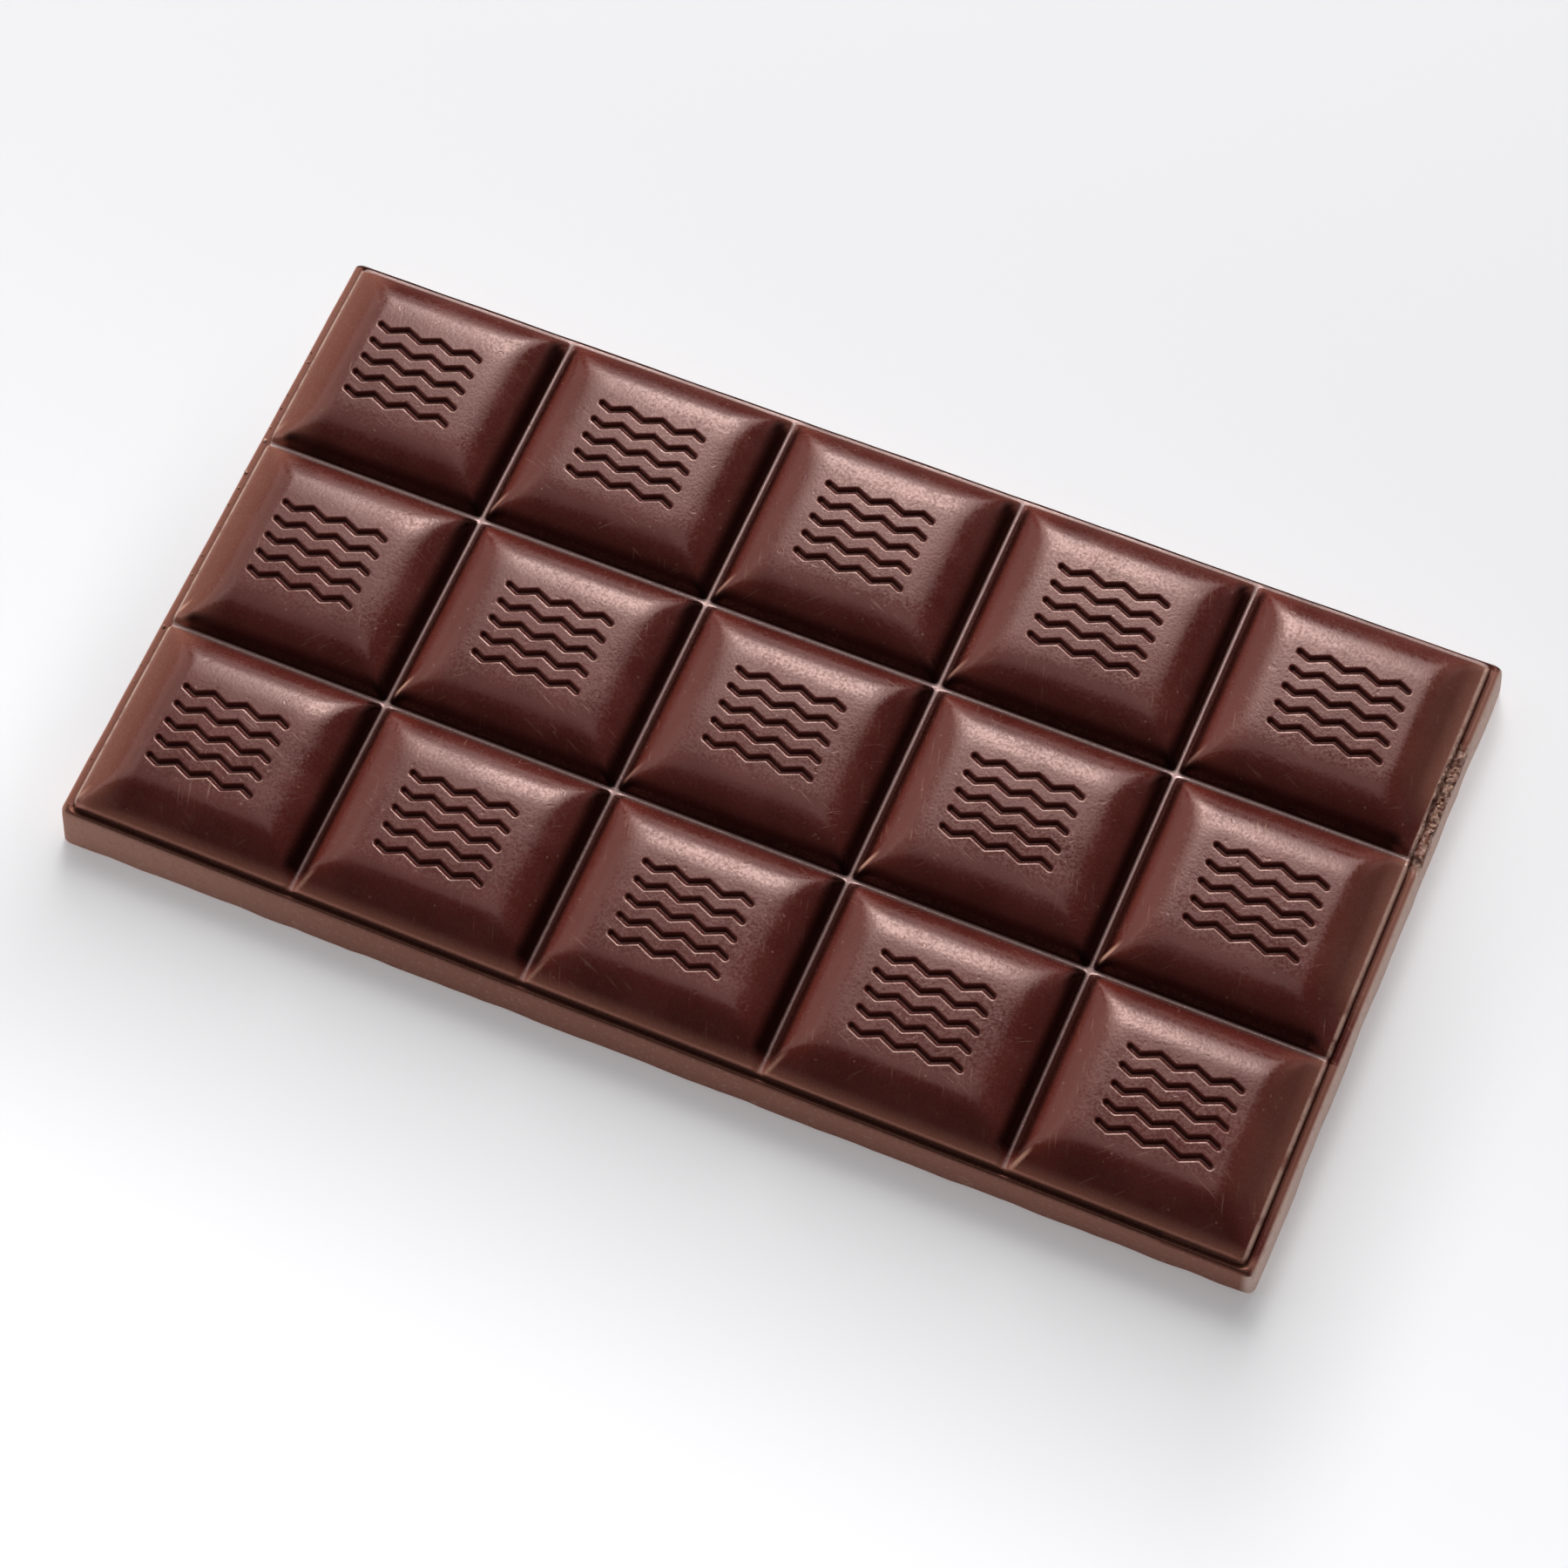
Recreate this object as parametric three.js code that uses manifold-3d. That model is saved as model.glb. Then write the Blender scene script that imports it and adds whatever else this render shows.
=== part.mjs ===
// A moulded bar of dark chocolate, one solid piece: a slab with a narrow ledge all round, fifteen
// domed squares in three rows of five, flat score lines between them to break it along, and a
// block of five engraved wavy lines on the crown of each square.
//
// Millimetres, +Z up, the long side along X. The origin is the middle of the flat underside.

import * as THREE from 'three';
import { mergeGeometries, mergeVertices } from 'three/addons/utils/BufferGeometryUtils.js';
import Module from 'manifold-3d';

// Driving dimensions of the whole bar
const COLUMNS = 5;
const ROWS = 3;
const SQUARE_LENGTH = 28.0; // from score line to score line, along the bar
const SQUARE_WIDTH = 24.8; // from score line to score line, across the bar
const SCORE_LEVEL = 6.0; // height of the score lines' floor above the underside
const SCORE_WIDTH = 0.7; // flat floor of a score line

// The squares: on every side a very steep foot and a long convex flank, then a level panel
const FLANK_WIDTH = 6.2;
const FLANK_RISE = 3.3;
const FLANK_CURVE = 2.5; // 1 is a flat slope, 2 a parabola with its steepest part at the foot
const FLANK_STEPS = [0.1, 0.34, 0.6]; // where the flank bends, as a share of its width
const FOOT_RISE = 0.75; // what the steep foot adds to the flank
const FOOT_RUN = 0.3; // how fast the steep foot dies out

// The rim: the outermost flanks end in a lip, which steps down to the slab's ledge. Those of the
// +Y side have a steep foot like the inner ones, with a level strip between it and the lip.
const LIP_LEVEL = SCORE_LEVEL + 0.4;
const RIM_RUN = 5.2; // from the lip in to where the outermost flanks reach the panel
const RIM_CURVE = 1.4; // 1 is steepest at the lip, 2 is steepest halfway
const RIM_STEPS = [0, 0.18, 0.42, 0.68, 1]; // where they bend, as a share of the run
const LIP_HALF_LENGTH = 69.05;
const NEAR_LIP = 36.6; // from the middle to the lip of the -Y side
const FAR_LIP = 37.1; // and to that of the +Y side
const LIP_CORNER_RADIUS = 1.0;
const STEP_SPREAD = 0.3; // how far the foot of the step stands out from the lip
const RIM_OVERHANG = 2.0; // how far the squares' block reaches past the lip before it is trimmed
const LEDGE_LEVEL = SCORE_LEVEL - 0.5;
const LEDGE_HALF_LENGTH = 70.3;
const LEDGE_HALF_WIDTH = 37.5;
const SLAB_CORNER_RADIUS = 1.4;
const LEDGE_ROUNDING = 0.4;
const UNDERSIDE_ROUNDING = 0.35;
const WALL_DRAFT = 0.2; // how far the walls lean out towards the underside
const FOOT_FLARE = 1.2; // extra lean of the long walls, full at the -X end and gone at +X

// The engraved waves: a zigzag with straight strokes, round ends and a tapered section
const WAVE_LINES = 5;
const WAVE_PITCH = 2.24; // from one wavy line to the next
const WAVE_STROKE = 2.0; // half a period, along the bar
const WAVE_SWING = 0.87; // height from a valley to a crest
const WAVE_TURNS = 6; // corners on one line
const WAVE_TAIL = 0.64; // the last stroke at either end, as a share of a whole one
const WAVE_TOP_WIDTH = 0.84;
const WAVE_FLOOR_WIDTH = 0.24;
const WAVE_DEPTH = 0.5;
const WAVE_CLEARANCE = 0.5; // how far the cutter stands above the crown
const WAVE_END_SIDES = 3; // sides of a round end

// The crumbled stretch on the ledge of the short +X side
const CRUMBLE_FROM = 12.0;
const CRUMBLE_TO = 27.0;
const CRUMBLE_BITES = 9;
const CRUMBLE_SIZE = 0.85;

const CORNER_SIDES = 3; // sides of a rounded corner in plan
const COCOA = 0x4b2b25;

const wasm = await Module();
wasm.setup();

/** Repeatable numbers from 0 to 1, so that the crumbled edge is always the same. */
function randomNumbers(seed) {
  let state = seed;
  return () => {
    state = (state * 16807) % 2147483647;
    return state / 2147483647;
  };
}

/** A closed three.js geometry as a manifold solid. */
function toSolid(geometry) {
  const bare = geometry.clone();
  bare.deleteAttribute('normal');
  bare.deleteAttribute('uv');
  const merged = mergeVertices(bare, 1e-4);
  const vertProperties = new Float32Array(merged.attributes.position.array);
  const triVerts = new Uint32Array(merged.index.array);
  return new wasm.Manifold(new wasm.Mesh({ numProp: 3, vertProperties, triVerts }));
}

/** A manifold solid back as a three.js geometry. */
function toGeometry(solid) {
  const mesh = solid.getMesh();
  const geometry = new THREE.BufferGeometry();
  geometry.setAttribute('position', new THREE.BufferAttribute(mesh.vertProperties, 3));
  geometry.setIndex(new THREE.BufferAttribute(mesh.triVerts, 1));
  geometry.computeVertexNormals();
  return geometry;
}

/** A closed geometry from shared points and triangles. */
function indexedGeometry(points, triangles) {
  const geometry = new THREE.BufferGeometry().setFromPoints(points);
  geometry.setIndex(triangles);
  return geometry;
}

/** The closed skin through rings of equally many points, listed from the lowest ring up. */
function loft(rings) {
  const count = rings[0].length;
  const triangles = [];
  for (let level = 0; level + 1 < rings.length; level += 1) {
    for (let k = 0; k < count; k += 1) {
      const here = level * count + k;
      const next = level * count + ((k + 1) % count);
      triangles.push(here, next, next + count, here, next + count, here + count);
    }
  }
  const flat = (ring) => ring.map((point) => new THREE.Vector2(point.x, point.y));
  for (const [a, b, c] of THREE.ShapeUtils.triangulateShape(flat(rings[0]), [])) {
    triangles.push(a, c, b);
  }
  const top = (rings.length - 1) * count;
  for (const [a, b, c] of THREE.ShapeUtils.triangulateShape(flat(rings.at(-1)), [])) {
    triangles.push(top + a, top + b, top + c);
  }
  return indexedGeometry(rings.flat(), triangles);
}

/** The points of a rounded rectangle at one height, counterclockwise. */
function roundedRectangle(halfLength, halfWidth, radius, height) {
  const points = [];
  for (let corner = 0; corner < 4; corner += 1) {
    const signX = corner === 0 || corner === 3 ? 1 : -1;
    const signY = corner < 2 ? 1 : -1;
    for (let k = 0; k <= CORNER_SIDES; k += 1) {
      const angle = (corner + k / CORNER_SIDES) * (Math.PI / 2);
      const x = signX * (halfLength - radius) + radius * Math.cos(angle);
      const y = signY * (halfWidth - radius) + radius * Math.sin(angle);
      points.push(new THREE.Vector3(x, y, height));
    }
  }
  return points;
}

/** Height of a flank above the score floor, at a distance in from its foot. */
function flankHeight(distance) {
  const run = THREE.MathUtils.clamp(distance, 0, FLANK_WIDTH);
  const flank = FLANK_RISE * (1 - (1 - run / FLANK_WIDTH) ** FLANK_CURVE);
  return flank + FOOT_RISE * (1 - Math.exp(-run / FOOT_RUN));
}

/** Height of an outermost flank above the lip, at a distance in from the lip. */
function rimHeight(distance) {
  const rise = SCORE_LEVEL + FLANK_RISE + FOOT_RISE - LIP_LEVEL;
  const share = THREE.MathUtils.clamp(distance / RIM_RUN, 0, 1);
  return rise * ((RIM_CURVE + 1) * share ** RIM_CURVE - RIM_CURVE * share ** (RIM_CURVE + 1));
}

/** One axis of the squares: where the surface bends, and how high it may be there. */
class SquareAxis {
  constructor(count, pitch, nearLip, farLip, farIsSteep = false) {
    this.count = count;
    this.pitch = pitch;
    this.nearLip = nearLip;
    this.farLip = farLip;
    this.farIsSteep = farIsSteep;
    this.footOffset = (pitch - SCORE_WIDTH) / 2;
  }

  /** The middle of each square. */
  centres() {
    return Array.from({ length: this.count }, (_, k) => (k - (this.count - 1) / 2) * this.pitch);
  }

  /** The middle of the square that a place belongs to. */
  centreNear(place) {
    const centres = this.centres();
    return centres.reduce((a, b) => (Math.abs(b - place) < Math.abs(a - place) ? b : a));
  }

  /** Every place where the surface bends, from one end to the other. */
  breaks() {
    const offsets = [0, ...FLANK_STEPS, 1].map((share) => this.footOffset - share * FLANK_WIDTH);
    const near = RIM_STEPS.map((share) => this.nearLip - share * RIM_RUN);
    const farSteps = this.farIsSteep ? [0] : RIM_STEPS;
    const far = farSteps.map((share) => this.farLip - share * RIM_RUN);
    const start = -near.at(-1) + 0.01;
    const finish = far.at(-1) - 0.01;
    const inside = this.centres().flatMap((centre) => [
      ...offsets.map((offset) => centre - offset),
      ...offsets.map((offset) => centre + offset).reverse(),
    ]).filter((place) => place > start && place < finish);
    return [
      -this.nearLip - RIM_OVERHANG,
      ...near.map((place) => -place),
      ...inside,
      ...far.toReversed(),
      this.farLip + RIM_OVERHANG,
    ];
  }

  /** Height that the flanks facing along this axis allow at a place. */
  height(place) {
    const fromLip = place > 0 ? this.farLip - place : this.nearLip + place;
    const steep = place > 0 && this.farIsSteep;
    if (fromLip < RIM_RUN && !steep) return LIP_LEVEL + rimHeight(fromLip);
    const fromCentre = Math.abs(place - this.centreNear(place));
    return SCORE_LEVEL + flankHeight(this.footOffset - fromCentre);
  }
}

const alongBar = new SquareAxis(COLUMNS, SQUARE_LENGTH, LIP_HALF_LENGTH, LIP_HALF_LENGTH);
const acrossBar = new SquareAxis(ROWS, SQUARE_WIDTH, NEAR_LIP, FAR_LIP, true);

/** Height of the squares' surface above the underside. */
function squaresHeight(x, y) {
  return Math.min(alongBar.height(x), acrossBar.height(y));
}

/** The squares as one closed block that reaches past the rim on every side. */
function squaresBlock() {
  const xs = alongBar.breaks();
  const ys = acrossBar.breaks();
  const floor = LEDGE_LEVEL - LEDGE_ROUNDING;
  const points = [];
  for (const y of ys) {
    for (const x of xs) {
      points.push(new THREE.Vector3(x, y, squaresHeight(x, y)));
    }
  }
  const triangles = [];
  for (let row = 0; row + 1 < ys.length; row += 1) {
    for (let column = 0; column + 1 < xs.length; column += 1) {
      const a = row * xs.length + column;
      const b = a + 1;
      const c = b + xs.length;
      const d = a + xs.length;
      const x = (xs[column] + xs[column + 1]) / 2;
      const y = (ys[row] + ys[row + 1]) / 2;
      const mitre = (x - alongBar.centreNear(x)) * (y - acrossBar.centreNear(y));
      triangles.push(...(mitre > 0 ? [a, b, c, a, c, d] : [a, b, d, b, c, d]));
    }
  }
  // The sides and the bottom hang from the border of the grid of points.
  const border = [];
  const last = ys.length - 1;
  for (let column = 0; column + 1 < xs.length; column += 1) border.push(column);
  for (let row = 0; row < last; row += 1) border.push(row * xs.length + xs.length - 1);
  for (let column = xs.length - 1; column > 0; column -= 1) border.push(last * xs.length + column);
  for (let row = last; row > 0; row -= 1) border.push(row * xs.length);
  const firstBelow = points.length;
  for (const index of border) points.push(points[index].clone().setZ(floor));
  const middle = points.length;
  points.push(new THREE.Vector3(0, 0, floor));
  border.forEach((index, k) => {
    const following = (k + 1) % border.length;
    const below = firstBelow + k;
    const belowNext = firstBelow + following;
    triangles.push(index, below, belowNext, index, belowNext, border[following]);
    triangles.push(below, middle, belowNext);
  });
  return indexedGeometry(points, triangles);
}

/** The upright sides of the squares' block, leaning out a little from the lip to the ledge. */
function rimShape() {
  const above = SCORE_LEVEL + FLANK_RISE + FOOT_RISE + 1;
  const below = LEDGE_LEVEL - LEDGE_ROUNDING;
  const spreadAt = (height) => (STEP_SPREAD * (LIP_LEVEL - height)) / (LIP_LEVEL - LEDGE_LEVEL);
  const ring = (height) => roundedRectangle(
    LIP_HALF_LENGTH + spreadAt(height),
    (NEAR_LIP + FAR_LIP) / 2 + spreadAt(height),
    LIP_CORNER_RADIUS,
    height,
  );
  return loft([below, above].map(ring)).translate(0, (FAR_LIP - NEAR_LIP) / 2, 0);
}

/** The slab under the squares, with its rounded edges and its flared foot. */
function slab() {
  const levels = [
    { height: 0, inset: UNDERSIDE_ROUNDING },
    { height: UNDERSIDE_ROUNDING, inset: 0 },
    { height: LEDGE_LEVEL - LEDGE_ROUNDING, inset: 0 },
    { height: LEDGE_LEVEL, inset: LEDGE_ROUNDING },
  ];
  return loft(levels.map(({ height, inset }) => {
    const lean = 1 - height / LEDGE_LEVEL;
    const ring = roundedRectangle(
      LEDGE_HALF_LENGTH + WALL_DRAFT * lean - inset,
      LEDGE_HALF_WIDTH + WALL_DRAFT * lean - inset,
      SLAB_CORNER_RADIUS,
      height,
    );
    for (const point of ring) {
      const share = (LEDGE_HALF_LENGTH - point.x) / (2 * LEDGE_HALF_LENGTH);
      const flare = FOOT_FLARE * lean * THREE.MathUtils.clamp(share, 0, 1);
      point.y += Math.sign(point.y) * flare;
    }
    return ring;
  }));
}

/** The centre line of one wavy groove about its own middle. */
function waveCentreLine() {
  const corners = [];
  for (let k = 0; k < WAVE_TURNS; k += 1) {
    const x = (k - (WAVE_TURNS - 1) / 2) * WAVE_STROKE;
    const y = (k % 2 === 0 ? -0.5 : 0.5) * WAVE_SWING;
    corners.push(new THREE.Vector2(x, y));
  }
  const first = corners[0];
  const last = corners.at(-1);
  const tail = new THREE.Vector2(WAVE_STROKE, -WAVE_SWING).multiplyScalar(WAVE_TAIL);
  return [first.clone().sub(tail), ...corners, last.clone().add(tail)];
}

/** The outline of a stroke of some width round a centre line: mitred corners and round ends. */
function strokeOutline(line, width) {
  const half = width / 2;
  const directions = line.slice(1).map((point, k) => point.clone().sub(line[k]).normalize());
  const leftOf = (direction) => new THREE.Vector2(-direction.y, direction.x);
  const side = (sign) => line.slice(1, -1).map((point, k) => {
    const mitre = leftOf(directions[k]).add(leftOf(directions[k + 1])).normalize();
    const reach = half / mitre.dot(leftOf(directions[k]));
    return point.clone().addScaledVector(mitre, sign * reach);
  });
  const roundEnd = (point, direction) => {
    const start = Math.atan2(direction.y, direction.x) - Math.PI / 2;
    return Array.from({ length: WAVE_END_SIDES + 1 }, (_, k) => {
      const angle = start + (Math.PI * k) / WAVE_END_SIDES;
      return new THREE.Vector2(half * Math.cos(angle), half * Math.sin(angle)).add(point);
    });
  };
  return [
    ...roundEnd(line[0], directions[0].clone().negate()),
    ...side(-1),
    ...roundEnd(line.at(-1), directions.at(-1)),
    ...side(1).reverse(),
  ];
}

/** The cutters of all the engraved lines, one block of lines in the panel of each square. */
function waveCutters() {
  const line = waveCentreLine();
  const floorOutline = strokeOutline(line, WAVE_FLOOR_WIDTH);
  const slope = (WAVE_TOP_WIDTH - WAVE_FLOOR_WIDTH) / WAVE_DEPTH;
  const topWidth = WAVE_FLOOR_WIDTH + slope * (WAVE_DEPTH + WAVE_CLEARANCE);
  const topOutline = strokeOutline(line, topWidth);
  const cutters = [];
  for (const centreX of alongBar.centres()) {
    for (const centreY of acrossBar.centres()) {
      for (let k = 0; k < WAVE_LINES; k += 1) {
        const lineY = centreY + (k - (WAVE_LINES - 1) / 2) * WAVE_PITCH;
        const ring = (outline, lift) => outline.map((point) => {
          const x = centreX + point.x;
          const y = lineY + point.y;
          return new THREE.Vector3(x, y, squaresHeight(x, y) + lift);
        });
        cutters.push(loft([ring(floorOutline, -WAVE_DEPTH), ring(topOutline, WAVE_CLEARANCE)]));
      }
    }
  }
  return mergeGeometries(cutters);
}

/** The small bites that leave the crumbled stretch of ledge. */
function crumbleBites() {
  const random = randomNumbers(7);
  const spread = () => random() - 0.5;
  const bites = [];
  for (let k = 0; k < CRUMBLE_BITES; k += 1) {
    const share = (k + 0.5) / CRUMBLE_BITES;
    const bite = new THREE.IcosahedronGeometry(CRUMBLE_SIZE * (0.7 + 0.6 * random()), 0);
    bite.rotateX(Math.PI * random()).rotateY(Math.PI * random());
    bite.translate(
      LEDGE_HALF_LENGTH + CRUMBLE_SIZE * (0.3 + 0.5 * spread()),
      THREE.MathUtils.lerp(CRUMBLE_FROM, CRUMBLE_TO, share),
      LEDGE_LEVEL + CRUMBLE_SIZE * (0.3 + 0.5 * spread()),
    );
    bites.push(bite);
  }
  return bites;
}

/** The whole bar as one solid. */
function chocolateBar() {
  const squares = toSolid(squaresBlock()).intersect(toSolid(rimShape()));
  let bar = squares.add(toSolid(slab()));
  for (const bite of crumbleBites()) bar = bar.subtract(toSolid(bite));
  return bar.subtract(toSolid(waveCutters()));
}

const bar = new THREE.Mesh(
  toGeometry(chocolateBar()),
  new THREE.MeshStandardMaterial({ color: COCOA, roughness: 0.42, metalness: 0 }),
);
bar.name = 'chocolate_bar';

const group = new THREE.Group();
group.add(bar);

export default group;
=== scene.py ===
"""A moulded bar of dark chocolate lying on a pale ground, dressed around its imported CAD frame.

The bar is one piece: a slab with a narrow ledge, fifteen domed squares, flat score lines between
them and five engraved wavy lines on each square. Lengths are metres, +Z is up and the origin is
the middle of the flat underside, as in the frame.
"""

import logging
import math
import random
from dataclasses import dataclass, field
from enum import Enum
from functools import reduce

import bpy
import numpy as np
from mathutils import Matrix, Vector, noise

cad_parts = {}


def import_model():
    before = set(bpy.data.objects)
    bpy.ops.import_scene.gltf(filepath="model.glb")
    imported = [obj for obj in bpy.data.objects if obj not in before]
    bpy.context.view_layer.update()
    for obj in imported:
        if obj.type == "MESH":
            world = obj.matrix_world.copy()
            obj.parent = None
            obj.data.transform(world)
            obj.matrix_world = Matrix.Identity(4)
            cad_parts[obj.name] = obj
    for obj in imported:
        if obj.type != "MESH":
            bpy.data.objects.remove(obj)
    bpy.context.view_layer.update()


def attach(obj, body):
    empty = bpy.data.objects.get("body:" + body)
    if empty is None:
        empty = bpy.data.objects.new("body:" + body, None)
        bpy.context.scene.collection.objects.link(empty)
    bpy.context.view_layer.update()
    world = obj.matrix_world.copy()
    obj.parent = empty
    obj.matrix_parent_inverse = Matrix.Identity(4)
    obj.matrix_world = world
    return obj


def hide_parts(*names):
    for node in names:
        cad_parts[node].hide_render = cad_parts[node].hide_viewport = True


LOG = logging.getLogger("chocolate_bar")

MM = 0.001
CAD_NODE = "chocolate_bar"
BODY = "root"
GROOVE = "groove"  # how far a place is from the nearest groove's middle, up to a millimetre
GROOVE_SIDE = "groove_side"  # 1 on the groove's -Y side and -1 on its +Y side

Colour = tuple[float, float, float, float]
Span = tuple[float, float]  # a start and an end; a mask is 0 at the start and 1 at the end
MeshLine = tuple[float, float, float]  # its square's middle, its offset and its share of the zigzag
Array = np.ndarray
Object = bpy.types.Object
Tree = bpy.types.NodeTree
Socket = bpy.types.NodeSocket
Value = Socket | Colour | float
Inputs = dict[str | int, Value]  # by the name or number of a node's input


def smooth_step(value: Array, low: float, high: float) -> Array:
    """Ease values from 0 at one limit to 1 at the other.

    Args:
        value: The values to ease.
        low: Where the result is 0.
        high: Where the result is 1.

    Returns:
        The eased values, from 0 to 1.
    """
    share = np.clip((value - low) / (high - low), 0.0, 1.0)
    return share * share * (3.0 - 2.0 * share)


def smooth_min(a: Array, b: Array, blend: Array) -> Array:
    """Take the lesser of two fields with a rounded crease.

    Args:
        a: The first field.
        b: The second field.
        blend: How far from the crease the rounding starts.

    Returns:
        The rounded minimum.
    """
    overlap = np.maximum(blend - np.abs(a - b), 0.0)
    return np.minimum(a, b) - overlap * overlap / (4.0 * blend)


def fractal_noise(points: Array, scale: float, seed: float) -> Array:
    """Sample smooth noise at many places.

    Args:
        points: An array of places, one row each.
        scale: The size of the largest lumps.
        seed: An offset that picks another pattern.

    Returns:
        One value from about -1 to 1 for each place.
    """
    shift = Vector((seed, 2.0 * seed, 3.0 * seed))
    return np.array([
        noise.fractal(Vector(p) / scale + shift, 1.0, 2.0, 3, noise_basis="PERLIN_ORIGINAL")
        for p in points
    ])


# ---- Finishes -------------------------------------------------------------------------------


class Coordinates(Enum):
    """The coordinates that a pattern may follow."""

    OBJECT = "Object"


class ShaderSheet:
    """A node tree with short calls for adding and joining its nodes."""

    def __init__(self, tree: Tree) -> None:
        """Keep the tree and empty it."""
        self.tree = tree
        tree.nodes.clear()

    @classmethod
    def of_material(cls, name: str) -> tuple[bpy.types.Material, "ShaderSheet", Socket]:
        """Start a material.

        Args:
            name: The material's name.

        Returns:
            The material, its empty sheet and the socket of its Object coordinates.
        """
        material = bpy.data.materials.new(name)
        material.use_nodes = True
        sheet = cls(material.node_tree)
        return material, sheet, sheet.add("TexCoord").outputs[Coordinates.OBJECT.value]

    def add(self, kind: str, inputs: Inputs | None = None, **settings: object) -> bpy.types.Node:
        """Add a node.

        Args:
            kind: The node's type, without its ShaderNode prefix.
            inputs: Values or sockets for its inputs.
            **settings: Properties of the node and their values.

        Returns:
            The new node.
        """
        node = self.tree.nodes.new(kind if kind.startswith("Node") else "ShaderNode" + kind)
        for key, value in settings.items():
            setattr(node, key, value)
        for label, value in (inputs or {}).items():
            if isinstance(value, Socket):
                self.tree.links.new(value, node.inputs[label])
            else:
                node.inputs[label].default_value = value
        return node

    def math(self, operation: str, *values: Value, clamp: bool = False) -> Socket:
        """Work out a number from others, and keep it from 0 to 1 where clamp is set."""
        return self.add("Math", dict(enumerate(values)), operation=operation, use_clamp=clamp).outputs[0]

    def times(self, *values: Value) -> Socket:
        """Multiply numbers."""
        return reduce(lambda one, other: self.math("MULTIPLY", one, other), values)

    def most(self, *values: Value) -> Socket:
        """Take the greatest of some numbers."""
        return reduce(lambda one, other: self.math("MAXIMUM", one, other), values)

    def scaled(self, value: Value, factor: Value, start: Value) -> Socket:
        """Multiply a number by a factor and add the result to a start."""
        return self.math("MULTIPLY_ADD", value, factor, start)

    def ramp(self, value: Value, low: float, high: float, smooth: bool = True) -> Socket:
        """Map a number to 0 at one limit and to 1 at the other, with eased ends where smooth is set."""
        return self.add("MapRange", {"Value": value, "From Min": low, "From Max": high},
                        interpolation_type="SMOOTHSTEP" if smooth else "LINEAR").outputs["Result"]

    def mix(self, share: Value, first: Value, second: Value) -> Socket:
        """Mix a share of the second colour into the first."""
        return self.add("Mix", {"Factor": share, "A": first, "B": second}, data_type="RGBA").outputs["Result"]

    def noise(self, place: Socket, scale: float, detail: float = 3.0, rough: float = 0.5,
              squeeze: tuple[float, float, float] | None = None) -> Socket:
        """Add a noise pattern.

        Args:
            place: The coordinates' socket.
            scale: Lumps for each metre.
            detail: How many finer layers are added.
            rough: How strong the finer layers are.
            squeeze: Factors along X, Y and Z, for a pattern drawn out in one direction.

        Returns:
            The pattern's socket, with values about 0.5.
        """
        if squeeze is not None:
            place = self.add("Mapping", {"Vector": place, "Scale": squeeze}).outputs["Vector"]
        inputs = {"Vector": place, "Scale": scale, "Detail": detail, "Roughness": rough}
        return self.add("TexNoise", inputs).outputs["Fac"]

    def cells(self, place: Socket, scale: Value) -> Socket:
        """Distance from the middle of the nearest cell, with a number of cells for each metre."""
        return self.add("TexVoronoi", {"Vector": place, "Scale": scale}, feature="F1").outputs["Distance"]

    def split(self, place: Socket) -> bpy.types.NodeOutputs:
        """Split a place into its X, Y and Z."""
        return self.add("SeparateXYZ", {0: place}).outputs

    def group(self, tree: Tree, inputs: Inputs) -> bpy.types.NodeOutputs:
        """Add a group with its own inputs."""
        return self.add("Group", inputs, node_tree=tree).outputs

    def bump(self, height: Socket, distance: float) -> Socket:
        """Normal of a surface on which a height of 1 stands a distance high."""
        return self.add("Bump", {"Height": height, "Distance": distance}).outputs["Normal"]

    def surface(self, inputs: Inputs) -> None:
        """Join a principled shader to the material's output."""
        shader = self.add("BsdfPrincipled", inputs)
        self.add("OutputMaterial", {"Surface": shader.outputs["BSDF"]})


def new_group(name: str, inputs: dict[str, float], *outputs: str) -> tuple[
        ShaderSheet, bpy.types.NodeOutputs]:
    """Start a shader node group that follows a place.

    Args:
        name: The group's name.
        inputs: Names and default values of its number inputs, which come after Place.
        *outputs: Names of its number outputs.

    Returns:
        The group's sheet, and the sockets of what it is given, by name.
    """
    tree = bpy.data.node_groups.new(name, "ShaderNodeTree")
    sheet = ShaderSheet(tree)
    tree.interface.new_socket("Place", in_out="INPUT", socket_type="NodeSocketVector")
    for label, value in inputs.items():
        socket = tree.interface.new_socket(label, in_out="INPUT", socket_type="NodeSocketFloat")
        socket.default_value = value
    for label in outputs:
        tree.interface.new_socket(label, in_out="OUTPUT", socket_type="NodeSocketFloat")
    return sheet, sheet.add("NodeGroupInput").outputs


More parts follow.
